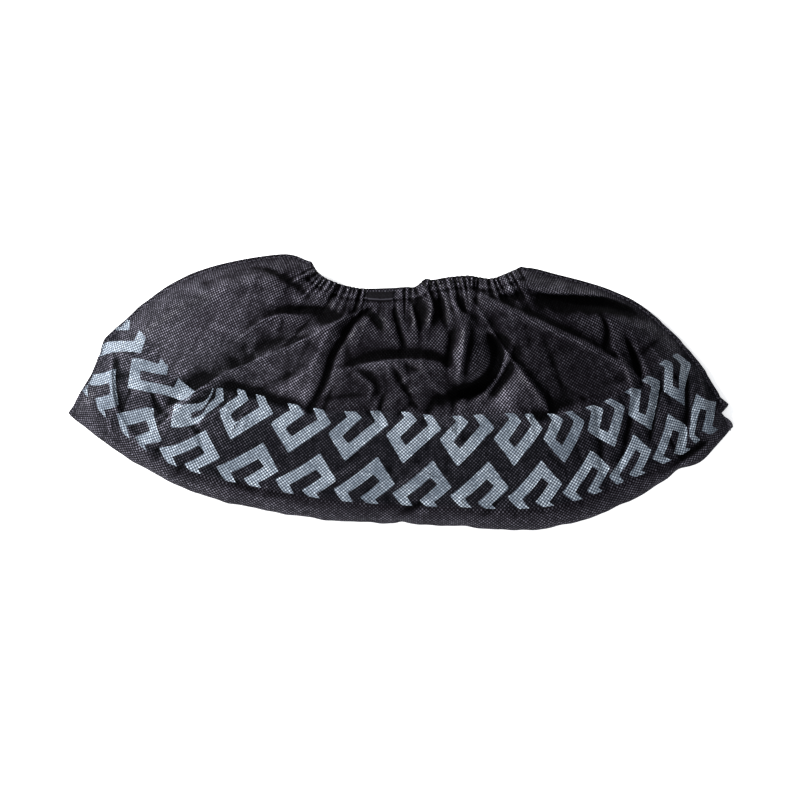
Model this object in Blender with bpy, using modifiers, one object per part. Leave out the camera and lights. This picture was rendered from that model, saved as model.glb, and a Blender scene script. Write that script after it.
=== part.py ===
"""A disposable overshoe of thin non-woven cloth, lying on its side as it comes out of the box.

The overshoe is a boat-shaped pouch: one sheet of cloth that wraps round under the sole and is folded or
welded at the toe and the heel. An elastic band inside the hem gathers its mouth. It lies flat on its
side, so the model has an upper layer, a lower layer that rests on the floor, and a hollow between them.
X runs from toe to heel, Y from the sole fold towards the mouth, and Z up from the floor, in metres.
"""

from collections import namedtuple

import bmesh
import bpy
import numpy as np

# Driving sizes, in metres
LENGTH = 0.400  # toe tip to heel tip
WIDTH = 0.1664  # sole fold to the top of the toe, as it lies
LOFT = 0.033  # height of the upper layer's crown over the sole fold, before its folds
WALL = 0.0010  # the cloth
SOLE_FOLD = 0.0030  # height of the sole fold's middle above the floor
MOUTH_MIDDLE = 0.0125  # height of the mouth's two corners above the floor
MOUTH_RISE = 0.0140  # the upper hem stands this much above the mouth's corners
FOLD_RELIEF = 0.0080  # what the folds of the upper layer are measured in
GATHER_DEPTH = 0.0020  # crest to trough of a gather at the hem
GATHER_REACH = 0.0120  # how far a gather runs out from the hem
GATHER_COUNT = 17  # gathers on each layer's half of the hem
GATHER_SPACING = 0.0080  # from one gather to the next
EDGE_CALM = 0.0250  # the folds fade out this far from the toe, the heel and the sole fold
HEM_CALM = 0.0120  # and this far from the hem, where the elastic runs
ELASTIC_WIDTH = 0.0050
ELASTIC_THICKNESS = 0.0008
ELASTIC_INSET = 0.0025  # hem edge to the elastic's near edge
SPLICE_LENGTH = 0.0200  # patch that holds the overlapping ends of the elastic on the hem
SPLICE_WIDTH = 0.0075
SPLICE_THICKNESS = 0.0008
SPLICE_INSET = 0.0012  # hem edge to the patch's near edge
SPLICE_PLACE = 0.400  # the patch's middle, as a share of the hem from its toe end to its heel end
CLEARANCE = 0.0003

# Each column of the sheet runs from the sole fold up to the hem. Its points are (x, y) shares of
# LENGTH and WIDTH from the toe tip's side and the sole fold. low and high are the edges of the sole's tread
# band, and the bows swell the stretch from the band to the hem outwards, to the toe or to the heel, as
# shares of LENGTH at BOW_PLACES on that stretch. crown is the column's height as a share of LOFT.
Column = namedtuple("Column", "sole low high hem lower_bow upper_bow crown")
COLUMNS = [
    Column((0.000, 0.424), (0.021, 0.507), (0.091, 0.770), (0.366, 0.968), 0.036, 0.025, 0.38),
    Column((0.039, 0.345), (0.060, 0.403), (0.120, 0.694), (0.375, 0.935), 0.028, 0.019, 0.50),
    Column((0.082, 0.273), (0.099, 0.324), (0.152, 0.594), (0.387, 0.910), 0.020, 0.013, 0.62),
    Column((0.138, 0.194), (0.149, 0.248), (0.194, 0.507), (0.405, 0.888), 0.013, 0.008, 0.74),
    Column((0.208, 0.122), (0.217, 0.194), (0.248, 0.514), (0.425, 0.874), 0.007, 0.004, 0.82),
    Column((0.297, 0.072), (0.300, 0.151), (0.321, 0.464), (0.448, 0.867), 0.003, 0.002, 0.90),
    Column((0.395, 0.036), (0.396, 0.112), (0.404, 0.432), (0.472, 0.867), 0.000, 0.000, 0.95),
    Column((0.492, 0.025), (0.490, 0.094), (0.487, 0.432), (0.501, 0.871), 0.000, 0.000, 1.00),
    Column((0.589, 0.014), (0.583, 0.086), (0.568, 0.414), (0.532, 0.888), 0.000, 0.000, 1.00),
    Column((0.686, 0.000), (0.676, 0.079), (0.652, 0.424), (0.568, 0.906), 0.003, 0.002, 0.96),
    Column((0.768, 0.032), (0.755, 0.104), (0.723, 0.421), (0.601, 0.914), 0.006, 0.003, 0.90),
    Column((0.843, 0.104), (0.827, 0.169), (0.791, 0.457), (0.631, 0.914), 0.011, 0.005, 0.80),
    Column((0.906, 0.191), (0.888, 0.234), (0.849, 0.522), (0.653, 0.924), 0.017, 0.007, 0.72),
    Column((0.957, 0.259), (0.939, 0.306), (0.894, 0.615), (0.670, 0.939), 0.023, 0.010, 0.58),
    Column((1.000, 0.374), (0.981, 0.482), (0.933, 0.655), (0.680, 0.950), 0.030, 0.012, 0.42),
]

BOW_PLACES = {"lower": 0.40, "upper": 0.85}

# Height of the upper layer on its way from the sole fold to the hem, as shares of the column's height.
PROFILE = {"sole": 0.0, "low": 0.22, "high": 0.62, "lower_bow": 0.90, "upper_bow": 0.92, "hem": 0.50}

# Where the mesh's rows lie, counted in the six points of a column: 0 is the sole fold and 5 the hem.
ROWS = [0, 0.10, 0.28, 0.60, 1, 1.25, 1.5, 1.75, 2, 2.33, 2.67, 3, 3.4, 3.8, 4.15, 4.45, 4.72, 5]
HEM_ROW = 5.0
COLUMN_STEPS = 5  # mesh columns between two rows of the COLUMNS table
END_STEPS = [0.10, 0.30]  # extra ones that round off the toe and the heel
ELASTIC_STEPS = 36  # sections of the elastic on each layer
SPLICE_STEPS = 10

# Main folds of the upper layer: a smooth stroke through three (x, y) points, given as in COLUMNS.
# lift and drop are shares of FOLD_RELIEF: a ridge or valley lifts its line, and a lap also drops the
# cloth on its left, seen along the stroke. half_width is a share of WIDTH. A fold starts and ends with
# FOLD_ENDS of its height, and is drawn with STROKE_STEPS straight pieces.
FOLD_ENDS = 0.35
STROKE_STEPS = 40
Fold = namedtuple("Fold", "name start middle end lift drop half_width")
FOLDS = [
    Fold("toe diagonal", (0.165, 0.425), (0.260, 0.590), (0.430, 0.780), 0.45, 0.60, 0.060),
    Fold("toe hollow", (0.270, 0.640), (0.350, 0.770), (0.405, 0.780), -0.55, 0.0, 0.050),
    Fold("centre crease", (0.470, 0.810), (0.400, 0.640), (0.365, 0.430), -0.75, 0.0, 0.040),
    Fold("centre flap", (0.430, 0.580), (0.500, 0.610), (0.580, 0.590), 0.60, 0.55, 0.060),
    Fold("deep pocket", (0.635, 0.700), (0.635, 0.560), (0.560, 0.470), -1.80, 0.0, 0.095),
    Fold("pocket lip", (0.665, 0.640), (0.655, 0.540), (0.615, 0.460), 0.40, 0.0, 0.040),
    Fold("taut ridge", (0.600, 0.850), (0.740, 0.700), (0.880, 0.500), 0.75, 0.0, 0.060),
    Fold("second ridge", (0.620, 0.780), (0.680, 0.600), (0.725, 0.430), 0.35, 0.0, 0.050),
    Fold("cuff shadow", (0.710, 0.850), (0.790, 0.835), (0.875, 0.800), -0.70, 0.0, 0.040),
    Fold("heel valley", (0.835, 0.680), (0.855, 0.590), (0.865, 0.500), -0.60, 0.0, 0.040),
    Fold("heel tuck", (0.930, 0.650), (0.925, 0.480), (0.920, 0.320), -1.00, 0.0, 0.050),
]

# Notches in the outline: centre, reach and pull towards the middle, as shares of LENGTH and WIDTH.
Notch = namedtuple("Notch", "centre reach pull")
NOTCHES = [Notch((0.992, 0.436), 0.0200, -0.0060)]


def through(points, place):
    """The values at place, counted in points, on the smooth curve through them (Catmull-Rom)."""
    points = np.asarray(points, float)
    place = np.clip(np.asarray(place, float), 0, len(points) - 1)
    i = np.minimum(place.astype(int), len(points) - 2)
    f = (place - i).reshape(place.shape + (1,) * (points.ndim - 1))
    ends = np.concatenate([[2 * points[0] - points[1]], points, [2 * points[-1] - points[-2]]])
    a, b, c, d = ends[i], ends[i + 1], ends[i + 2], ends[i + 3]
    return b + 0.5 * f * (c - a + f * (2 * a - 5 * b + 4 * c - d + f * (3 * (b - c) + d - a)))


def ease(x):
    """0 below 0, 1 above 1, and a smooth step between."""
    x = np.clip(x, 0, 1)
    return x * x * (3 - 2 * x)


def rounded(distance, radius):
    """Quarter circle: 0 on the fold line, rising to 1 at one radius from it."""
    x = 1 - np.clip(distance / radius, 0, 1)
    return np.sqrt(1 - x * x)


def in_metres(point):
    """A table's (x, y) shares as a place on the floor, with the box's middle as the origin."""
    return np.asarray(point, float) * (LENGTH, WIDTH) - (LENGTH / 2, WIDTH / 2)


def column_points(column):
    """The six plan points of one column, from the sole fold to the hem."""
    sole, low, high, hem = (in_metres(p) for p in (column.sole, column.low, column.high, column.hem))
    along = hem - high
    side = np.array([-along[1], along[0]]) / np.hypot(*along)
    outwards = side * LENGTH * (1 if along[0] > 0 else -1)
    lower = high + BOW_PLACES["lower"] * along + outwards * column.lower_bow
    upper = high + BOW_PLACES["upper"] * along + outwards * column.upper_bow
    return [sole, low, high, lower, upper, hem]


def mesh_columns():
    """Where the mesh's columns lie, counted in rows of the COLUMNS table."""
    last = len(COLUMNS) - 1
    even = np.arange(last * COLUMN_STEPS + 1) / COLUMN_STEPS
    even = even[(even == 0) | (even == last) | ((even > END_STEPS[-1]) & (even < last - END_STEPS[-1]))]
    return np.sort(np.concatenate([even, END_STEPS, last - np.array(END_STEPS)]))


def notched(plan):
    """The plan with the outline's notches pulled in."""
    for notch in NOTCHES:
        centre = in_metres(notch.centre)
        near = np.exp(-(((plan - centre) ** 2).sum(-1)) / (notch.reach * LENGTH) ** 2)
        plan = plan + near[..., None] * (notch.pull * LENGTH, 0)
    return plan


def plan_grid():
    """Places on the floor of every mesh column and row, centred on the outline's box."""
    table = np.array([column_points(c) for c in COLUMNS])
    plan = through(table, mesh_columns())
    plan = np.swapaxes(through(np.swapaxes(plan, 0, 1), np.array(ROWS)), 0, 1)
    plan = notched(plan)
    low, high = plan.min((0, 1)), plan.max((0, 1))
    return (plan - (low + high) / 2) * (LENGTH, WIDTH) / (high - low)


def fold_height(fold, plan):
    """What one fold adds to the upper layer's height at each place of the plan."""
    steps = np.linspace(0, 2, STROKE_STEPS + 1)
    stroke = through([in_metres(p) for p in (fold.start, fold.middle, fold.end)], steps)
    away = plan[:, :, None, :] - stroke
    distance = np.linalg.norm(away, axis=-1)
    nearest = distance.argmin(-1)
    d = np.take_along_axis(distance, nearest[..., None], -1)[..., 0]
    gap = np.take_along_axis(away, nearest[..., None, None], 2)[:, :, 0]
    heading = np.gradient(stroke, axis=0)[nearest]
    left = np.sign(heading[..., 0] * gap[..., 1] - heading[..., 1] * gap[..., 0])
    width = fold.half_width * WIDTH
    strength = FOLD_ENDS + (1 - FOLD_ENDS) * np.sin(np.pi * nearest / STROKE_STEPS)
    bump = fold.lift * np.exp(-((d / width) ** 2))
    drop = fold.drop * (left > 0) * (d / width) * np.exp(1 - d / width)
    return FOLD_RELIEF * strength * (bump - drop)


def gathers(hem_place, hem_length):
    """How far the gathers stand out along the hem, 0 to 1; the splice holds its stretch flat."""
    wave = 0.5 - 0.5 * np.cos(2 * np.pi * GATHER_COUNT * hem_place)
    from_splice = np.abs(hem_place - SPLICE_PLACE) * hem_length - SPLICE_LENGTH / 2
    return wave * ease(from_splice / (GATHER_SPACING / 2))


class Sheet:
    """The cloth's outer face as a grid of columns and rows: an upper and a lower layer, and their gathers.

    The gathers stand out from both layers by ripple, so the elastic inside can follow the layers' own faces.
    """

    def __init__(self):
        plan = plan_grid()
        rows = np.array(ROWS)
        along = np.linalg.norm(np.diff(plan, axis=1), axis=-1)
        run = np.concatenate([np.zeros((len(plan), 1)), np.cumsum(along, axis=1)], axis=1)
        self.from_hem = run[:, -1:] - run
        steps = np.linalg.norm(np.diff(plan[:, -1], axis=0), axis=-1)
        self.hem_run = np.concatenate([[0], np.cumsum(steps)])
        to_toe = np.linalg.norm(plan - plan[:1], axis=-1)
        to_heel = np.linalg.norm(plan - plan[-1:], axis=-1)
        to_sole = np.linalg.norm(plan - plan[:, :1], axis=-1)

        crease = SOLE_FOLD + (MOUTH_MIDDLE - SOLE_FOLD) * ease((rows - 2) / 3)
        inside = rounded(to_toe, crease) * rounded(to_heel, crease) * rounded(to_sole, SOLE_FOLD)
        crown = through([c.crown for c in COLUMNS], mesh_columns())[:, None]
        swell = SOLE_FOLD + LOFT * crown * through(list(PROFILE.values()), rows)
        at_hem = ease((rows - 3) / 2)
        rise = swell * (1 - at_hem) + MOUTH_RISE * at_hem
        folds = sum(fold_height(f, plan) for f in FOLDS) * ease(self.from_hem / HEM_CALM - 0.5)
        folds *= ease(to_toe / EDGE_CALM) * ease(to_heel / EDGE_CALM) * ease(to_sole / EDGE_CALM)

        hem_length = self.hem_run[-1]
        fade = inside * GATHER_DEPTH * np.exp(-((self.from_hem / GATHER_REACH) ** 2))
        self.ripple = fade * gathers(self.hem_run[:, None] / hem_length, hem_length)
        self.upper = np.dstack([plan, crease + inside * rise + folds])
        self.lower = np.dstack([plan, crease * (1 - inside) + fade])

    def hem_section(self, hem_place, layer, distances):
        """Points of a layer, without its gathers, at these distances from the hem, and its outward normals."""
        faces = {"upper": self.upper, "lower": self.lower}
        place = np.interp(hem_place * self.hem_run[-1], self.hem_run, np.arange(len(self.hem_run)))
        i = min(int(place), len(self.hem_run) - 2)
        f = place - i

        def column(grid):
            """The grid's values at the distances, between two of its columns."""
            sides = [
                [np.interp(distances, self.from_hem[k][::-1], grid[k, ::-1, n]) for n in range(3)]
                for k in (i, i + 1)
            ]
            return ((1 - f) * np.array(sides[0]) + f * np.array(sides[1])).T

        normals = {name: outward(grid) * (1 if name == "upper" else -1) for name, grid in faces.items()}
        normal = column(normals[layer])
        if hem_place in (0, 1):
            normal = column(normals["upper"]) + column(normals["lower"])
        return column(faces[layer]), normal / np.linalg.norm(normal, axis=1)[:, None]


def outward(grid):
    """Unit normals of a grid of points, on the side where Z is up."""
    normal = np.cross(np.gradient(grid, axis=0), np.gradient(grid, axis=1))
    return normal / np.linalg.norm(normal, axis=-1)[..., None]


def add_object(name, mesh, colour, roughness, parts):
    """Links a mesh as one named sub-part with a material of its own."""
    item = bpy.data.objects.new(name, mesh)
    parts.objects.link(item)
    material = bpy.data.materials.new(name)
    material.use_nodes = True
    shader = material.node_tree.nodes["Principled BSDF"]
    shader.inputs["Base Color"].default_value = (*colour, 1.0)
    shader.inputs["Roughness"].default_value = roughness
    shader.inputs["Metallic"].default_value = 0.0
    mesh.materials.append(material)
    mesh.shade_smooth()
    return item


def shell_mesh(sheet):
    """The cloth's outer face: two layers, joined along the sole, the toe and the heel, open at the mouth."""
    columns, rows = sheet.ripple.shape
    raised = np.dstack([np.zeros_like(sheet.ripple)] * 2 + [sheet.ripple])
    work = bmesh.new()
    upper, lower = {}, {}
    for i in range(columns):
        for j in range(rows):
            upper[i, j] = work.verts.new(sheet.upper[i, j] + raised[i, j])
            on_fold = i in (0, columns - 1) or j == 0
            lower[i, j] = upper[i, j] if on_fold else work.verts.new(sheet.lower[i, j] - raised[i, j])
    for i in range(columns - 1):
        for j in range(rows - 1):
            ring = [(i, j), (i + 1, j), (i + 1, j + 1), (i, j + 1)]
            work.faces.new([upper[k] for k in ring])
            work.faces.new([lower[k] for k in reversed(ring)])
    mesh = bpy.data.meshes.new("shell")
    work.to_mesh(mesh)
    work.free()
    return mesh


def strip_mesh(name, sections, closed):
    """A solid strip through its sections, each a loop of points; its ends are capped unless it is a ring."""
    work = bmesh.new()
    loops = [[work.verts.new(point) for point in section] for section in sections]
    pairs = list(zip(loops, loops[1:] + loops[:1]))
    for one, two in pairs if closed else pairs[:-1]:
        for k in range(len(one)):
            work.faces.new([one[k - 1], two[k - 1], two[k], one[k]])
    if not closed:
        work.faces.new(loops[0])
        work.faces.new(loops[-1])
    bmesh.ops.recalc_face_normals(work, faces=work.faces)
    mesh = bpy.data.meshes.new(name)
    work.to_mesh(mesh)
    work.free()
    return mesh


def make_shell(sheet, parts):
    shell = add_object("shell", shell_mesh(sheet), (0.020, 0.019, 0.022), 0.72, parts)
    wall = shell.modifiers.new("wall", "SOLIDIFY")
    wall.thickness = WALL
    wall.offset = -1.0


def make_elastic(sheet, parts):
    """The elastic is a flat ring inside the hem: along the upper layer and back along the lower one."""
    distances = ELASTIC_INSET + ELASTIC_WIDTH * np.array([0, 0.5, 1])
    there = [(k / ELASTIC_STEPS, "upper") for k in range(ELASTIC_STEPS + 1)]
    back = [(k / ELASTIC_STEPS, "lower") for k in range(ELASTIC_STEPS - 1, 0, -1)]
    sections = []
    for place, layer in there + back:
        points, normal = sheet.hem_section(place, layer, distances)
        outer = points - normal * (WALL + CLEARANCE)
        inner = outer - normal * ELASTIC_THICKNESS
        sections.append([*outer, *inner[::-1]])
    add_object("elastic_band", strip_mesh("elastic_band", sections, True), (0.03, 0.03, 0.032), 0.6, parts)


def make_splice(sheet, parts):
    """The patch over the elastic's overlapping ends, on the outside of the upper hem."""
    distances = SPLICE_INSET + SPLICE_WIDTH * np.array([0, 0.25, 0.5, 0.75, 1])
    half = SPLICE_LENGTH / 2 / sheet.hem_run[-1]
    sections = []
    for place in np.linspace(SPLICE_PLACE - half, SPLICE_PLACE + half, SPLICE_STEPS + 1):
        points, normal = sheet.hem_section(place, "upper", distances)
        inner = points + normal * CLEARANCE
        outer = inner + normal * SPLICE_THICKNESS
        sections.append([*inner, *outer[::-1]])
    add_object("elastic_splice", strip_mesh("elastic_splice", sections, False), (0.01, 0.01, 0.012), 0.5, parts)


def main():
    for item in list(bpy.data.objects):
        bpy.data.objects.remove(item)
    parts = bpy.data.collections.new("overshoe")
    bpy.context.scene.collection.children.link(parts)
    sheet = Sheet()
    make_shell(sheet, parts)
    make_elastic(sheet, parts)
    make_splice(sheet, parts)


main()
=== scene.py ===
# %% [markdown]
# # A disposable overshoe, lying on its side
#
# An overshoe is a boat-shaped pouch of thin spunbond cloth that is pulled over a shoe. One sheet is folded
# round the sole, welded at the toe and the heel, and drawn together at the mouth by an elastic in its hem.
# Out of the box it lies flat on its side, crumpled, with its anti-slip print turned up.
#
# This lesson builds it in Blender in steps: the frame it has to fit, its outline, its heights and folds,
# the cloth, the finishes, the print, the elastic, the seams, and last the light and the camera.

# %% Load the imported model
from collections import namedtuple

import bmesh
import bpy
import numpy as np
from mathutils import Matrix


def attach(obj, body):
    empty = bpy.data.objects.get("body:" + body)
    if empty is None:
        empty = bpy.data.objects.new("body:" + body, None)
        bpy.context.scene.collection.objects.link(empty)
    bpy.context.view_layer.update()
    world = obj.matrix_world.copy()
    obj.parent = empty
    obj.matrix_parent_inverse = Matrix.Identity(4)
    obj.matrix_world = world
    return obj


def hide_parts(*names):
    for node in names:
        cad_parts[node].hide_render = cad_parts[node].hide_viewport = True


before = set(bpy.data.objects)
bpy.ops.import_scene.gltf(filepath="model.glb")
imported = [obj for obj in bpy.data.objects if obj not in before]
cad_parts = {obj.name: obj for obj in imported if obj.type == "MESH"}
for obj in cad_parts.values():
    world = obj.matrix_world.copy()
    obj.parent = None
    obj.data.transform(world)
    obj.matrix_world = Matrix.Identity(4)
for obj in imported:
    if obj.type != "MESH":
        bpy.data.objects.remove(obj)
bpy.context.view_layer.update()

MM = 0.001

# %% [markdown]
# ## The outline
#
# Seen from above, the pouch is a fan: lines run from the fold under the sole up to the gathered hem, wide
# apart at the sole and close together at the mouth. A table of such lines is easier to draw and to change
# than a sculpted mesh, and a smooth curve through the table's points gives as many mesh lines as we like.
# Each row of the table has the line's places as shares of the length and the width: the sole's fold, the
# two edges of the printed band, and the hem. Two bows swell the stretch above the band towards the ends.

# %% Sizes and the table of lines
LENGTH, WIDTH = 400 * MM, 166.4 * MM
LOFT = 33 * MM  # height of the upper layer's crown over the sole's fold
SOLE_FOLD = 3 * MM  # height of the middle of the sole's fold
MOUTH_MIDDLE = 12.5 * MM  # height of the mouth's two corners
MOUTH_RISE = 14 * MM  # the near hem stands this much above the corners
FIN = 2.2 * MM  # the two layers are welded flat together this far in from the toe's and the heel's edge
CLOTH = 0.35 * MM  # thickness
LOWER_BOW_AT, UPPER_BOW_AT = 0.40, 0.85  # the bows' places, as shares of the way from the band to the hem

Line = namedtuple("Line", "sole low high hem lower_bow upper_bow crown")
LINES = [
    Line((0.000, 0.424), (0.021, 0.507), (0.091, 0.770), (0.366, 0.968), 0.036, 0.025, 0.38),
    Line((0.039, 0.345), (0.060, 0.403), (0.120, 0.694), (0.375, 0.935), 0.028, 0.019, 0.50),
    Line((0.082, 0.273), (0.099, 0.324), (0.152, 0.594), (0.387, 0.910), 0.020, 0.013, 0.62),
    Line((0.138, 0.194), (0.149, 0.248), (0.194, 0.507), (0.405, 0.888), 0.013, 0.008, 0.74),
    Line((0.208, 0.122), (0.217, 0.194), (0.248, 0.514), (0.425, 0.874), 0.007, 0.004, 0.82),
    Line((0.297, 0.072), (0.300, 0.151), (0.321, 0.464), (0.448, 0.867), 0.003, 0.002, 0.90),
    Line((0.395, 0.036), (0.396, 0.112), (0.404, 0.432), (0.472, 0.867), 0.000, 0.000, 0.95),
    Line((0.492, 0.025), (0.490, 0.094), (0.487, 0.432), (0.501, 0.871), 0.000, 0.000, 1.00),
    Line((0.589, 0.014), (0.583, 0.086), (0.568, 0.414), (0.532, 0.888), 0.000, 0.000, 1.00),
    Line((0.686, 0.000), (0.676, 0.079), (0.652, 0.424), (0.568, 0.906), 0.003, 0.002, 0.96),
    Line((0.768, 0.032), (0.755, 0.104), (0.723, 0.421), (0.601, 0.914), 0.006, 0.003, 0.90),
    Line((0.843, 0.104), (0.827, 0.169), (0.791, 0.457), (0.631, 0.914), 0.011, 0.005, 0.80),
    Line((0.906, 0.191), (0.888, 0.234), (0.849, 0.522), (0.653, 0.924), 0.017, 0.007, 0.72),
    Line((0.957, 0.259), (0.939, 0.306), (0.894, 0.615), (0.670, 0.939), 0.023, 0.010, 0.58),
    Line((1.000, 0.374), (0.981, 0.482), (0.933, 0.655), (0.680, 0.950), 0.030, 0.012, 0.42),
]
print(len(LINES), "lines from the toe to the heel")


# %% A smooth curve through a table's values, and a few other helpers
def through(points, place):
    """The values at place, counted in points, on the Catmull-Rom curve through them."""
    points = np.asarray(points, float)
    place = np.clip(np.asarray(place, float), 0, len(points) - 1)
    i = np.minimum(place.astype(int), len(points) - 2)
    f = (place - i).reshape(place.shape + (1,) * (points.ndim - 1))
    ends = np.concatenate([[2 * points[0] - points[1]], points, [2 * points[-1] - points[-2]]])
    a, b, c, d = ends[i], ends[i + 1], ends[i + 2], ends[i + 3]
    return b + 0.5 * f * (c - a + f * (2 * a - 5 * b + 4 * c - d + f * (3 * (b - c) + d - a)))


def ease(x):
    """0 below 0, 1 above 1, and a smooth step between."""
    x = np.clip(x, 0, 1)
    return x * x * (3 - 2 * x)


def unit(vectors):
    """The same vectors with a length of one."""
    return vectors / np.linalg.norm(vectors, axis=-1, keepdims=True)


def left_of(vectors):
    """Plane vectors turned a quarter to the left."""
    return np.stack([-vectors[..., 1], vectors[..., 0]], -1)


def steps_of(points):
    """The lengths of the steps along a line of points."""
    return np.linalg.norm(np.diff(points, axis=0), axis=-1)


def run_of(points):
    """How far along its line each point is."""
    return np.concatenate([[0], np.cumsum(steps_of(points))])


def on_floor(point):
    """Shares of the length and the width as a place on the floor, from the middle of the box."""
    return np.asarray(point, float) * (LENGTH, WIDTH) - (LENGTH / 2, WIDTH / 2)


def line_points(line):
    """The six places of one line, from the sole's fold to the hem."""
    sole, low, high, hem = (on_floor(p) for p in (line.sole, line.low, line.high, line.hem))
    along = hem - high
    side = left_of(along) / np.hypot(*along)
    outwards = side * LENGTH * (1 if along[0] > 0 else -1)
    lower = high + LOWER_BOW_AT * along + outwards * line.lower_bow
    upper = high + UPPER_BOW_AT * along + outwards * line.upper_bow
    return [sole, low, high, lower, upper, hem]


# %% The mesh's columns and rows
ACROSS = 501  # mesh columns from the toe to the heel
CROWDING = 0.25  # share by which the columns stand closer together at both ends
UPPER_ROWS = [24, 46, 26, 26, 16]  # mesh rows in each stretch of a line, on the upper layer
UNDER_ROWS = [9, 4, 3, 4, 10]  # the under layer is nearly flat

share = np.linspace(0, 1, ACROSS)
columns = (len(LINES) - 1) * (share - CROWDING * np.sin(2 * np.pi * share) / (2 * np.pi))


def row_places(counts):
    """Places of the rows, counted in a line's six points, closer together at the sole's fold."""
    rows = [np.linspace(k, k + 1, n, endpoint=False) for k, n in enumerate(counts)]
    rows[0] = rows[0] ** 1.7
    return np.concatenate([*rows, [5.0]])


def plan_of(rows):
    """Places on the floor of every column and row."""
    table = through(np.array([line_points(line) for line in LINES]), columns)
    return np.swapaxes(through(np.swapaxes(table, 0, 1), rows), 0, 1)


upper_rows, under_rows = row_places(UPPER_ROWS), row_places(UNDER_ROWS)
print("upper layer", (ACROSS, len(upper_rows)), "under layer", (ACROSS, len(under_rows)))

# %% [markdown]
# The real outline isn't as smooth as a spline. The weld at the heel ends in two small points with a nick
# between them, and the edges waver a little where the thin cloth curls. A few named nicks and a low ripple
# that dies away inside the outline bring that back.

# %% Nicks and wavering edges
Nick = namedtuple("Nick", "centre reach pull")
NICKS = [
    Nick((0.992, 0.419), 2.6 * MM, (-3.8 * MM, 0.0)),
    Nick((0.986, 0.456), 2.4 * MM, (2.6 * MM, 0.0)),
    Nick((0.502, 0.020), 3.0 * MM, (0.0, 1.0 * MM)),
    Nick((0.952, 0.700), 5.0 * MM, (-1.2 * MM, -0.6 * MM)),
    Nick((0.060, 0.690), 12.0 * MM, (-3.6 * MM, 1.0 * MM)),
    Nick((0.925, 0.205), 7.0 * MM, (-1.6 * MM, 1.6 * MM)),
    Nick((0.521, 0.881), 4.5 * MM, (0.0, -1.6 * MM)),
    Nick((0.536, 0.892), 3.4 * MM, (0.0, 1.9 * MM)),
    Nick((0.634, 0.917), 8.0 * MM, (0.0, -1.8 * MM)),
]


def waver(x, seed, length):
    """A slow random line: a sum of sines near one wavelength, from -1 to 1."""
    starts = np.random.default_rng(seed).uniform(0, 6.3, 3)
    waves = zip((0.5, 0.3, 0.2), (1, 0.61, 0.37), starts)
    return sum(np.sin(2 * np.pi * x / (length * part) + start) * amount for amount, part, start in waves)


def lived_in(plan):
    """The plan with its nicks pulled in and its outline wavering by half a millimetre."""
    plan = plan.copy()
    for nick in NICKS:
        near = np.exp(-(((plan - on_floor(nick.centre)) ** 2).sum(-1)) / nick.reach**2)
        plan += near[..., None] * nick.pull
    to_sole = np.linalg.norm(plan - plan[:, :1], axis=-1)
    plan[..., 1] += 0.55 * MM * waver(plan[..., 0], 3, 31 * MM) * np.exp(-to_sole / (9 * MM))
    for end, seed in (([0], 5), ([-1], 8)):
        to_end = np.linalg.norm(plan - plan[end], axis=-1)
        plan[..., 0] += 0.5 * MM * waver(plan[..., 1], seed, 17 * MM) * np.exp(-to_end / (5 * MM))
    return plan


upper_plan, under_plan = lived_in(plan_of(upper_rows)), lived_in(plan_of(under_rows))
print("outline, mm:", np.round(np.ptp(upper_plan.reshape(-1, 2), axis=0) / MM, 1))

# %% [markdown]
# ## Heights
#
# The under layer lies on the floor. The upper one rises from the sole's fold to a crown and comes down a
# little at the hem, so there is room for a foot between them. At the toe and the heel the two layers are
# welded flat together in a narrow fin before they part. A quarter circle gives each fold its round edge.


# %% Base heights of both layers
def rounded(distance, radius):
    """Quarter circle: 0 on the fold line, rising to 1 at one radius from it."""
    x = 1 - np.clip(distance / radius, 0, 1)
    return np.sqrt(1 - x * x)


def tapered(distance, reach):
    """Half a parabola: 0 on the seam, rising steeply and levelling off at one reach from it."""
    x = 1 - np.clip(distance / reach, 0, 1)
    return 1 - x * x


def nearest_on_hem(plan, hem_run):
    """Each point's nearest place on the hem, from 0 to 1, and how far the point is from it."""
    hem = plan[:, -1]
    heading = unit(np.gradient(hem, axis=0))
    place, distance = [], []
    for row in range(plan.shape[1]):
        away = plan[:, row, None] - hem
        size = np.linalg.norm(away, axis=-1)
        nearest = size.argmin(1)
        from_nearest = np.take_along_axis(away, nearest[:, None, None], 1)[:, 0]
        slip = np.clip((from_nearest * heading[nearest]).sum(-1), -0.5 * MM, 0.5 * MM)
        place.append((hem_run[nearest] + slip) / hem_run[-1])
        distance.append(np.sqrt(np.maximum(size.min(1) ** 2 - slip**2, 0)))
    return np.stack(place, 1), np.stack(distance, 1)


END_REACH = 17 * MM  # the layers part over this distance inside the fins
CALM_ENDS, CALM_SOLE = 14 * MM, 12 * MM  # folds and creases fade out this near the ends and the sole's fold
PROFILE = [0.0, 0.22, 0.62, 0.90, 0.92, 0.50]  # height of a line's six points, as shares of its crown


class Layer:
    """What both layers share: their plan, and how far inside the outline each point lies."""

    def __init__(self, plan, rows):
        self.plan, self.rows = plan, rows
        self.to_toe = np.linalg.norm(plan - plan[:1], axis=-1)
        self.to_heel = np.linalg.norm(plan - plan[-1:], axis=-1)
        self.to_sole = np.linalg.norm(plan - plan[:, :1], axis=-1)
        self.hem_run = run_of(plan[:, -1])
        self.hem_place, self.from_hem = nearest_on_hem(plan, self.hem_run)
        self.middle = SOLE_FOLD + (MOUTH_MIDDLE - SOLE_FOLD) * ease((rows - 2) / 3)
        self.ends = tapered(self.to_toe - FIN, END_REACH) * tapered(self.to_heel - FIN, END_REACH)
        self.inside = self.ends * rounded(self.to_sole, SOLE_FOLD)
        self.calm = ease(self.to_toe / CALM_ENDS) * ease(self.to_heel / CALM_ENDS)
        self.calm *= ease(self.to_sole / CALM_SOLE)


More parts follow.
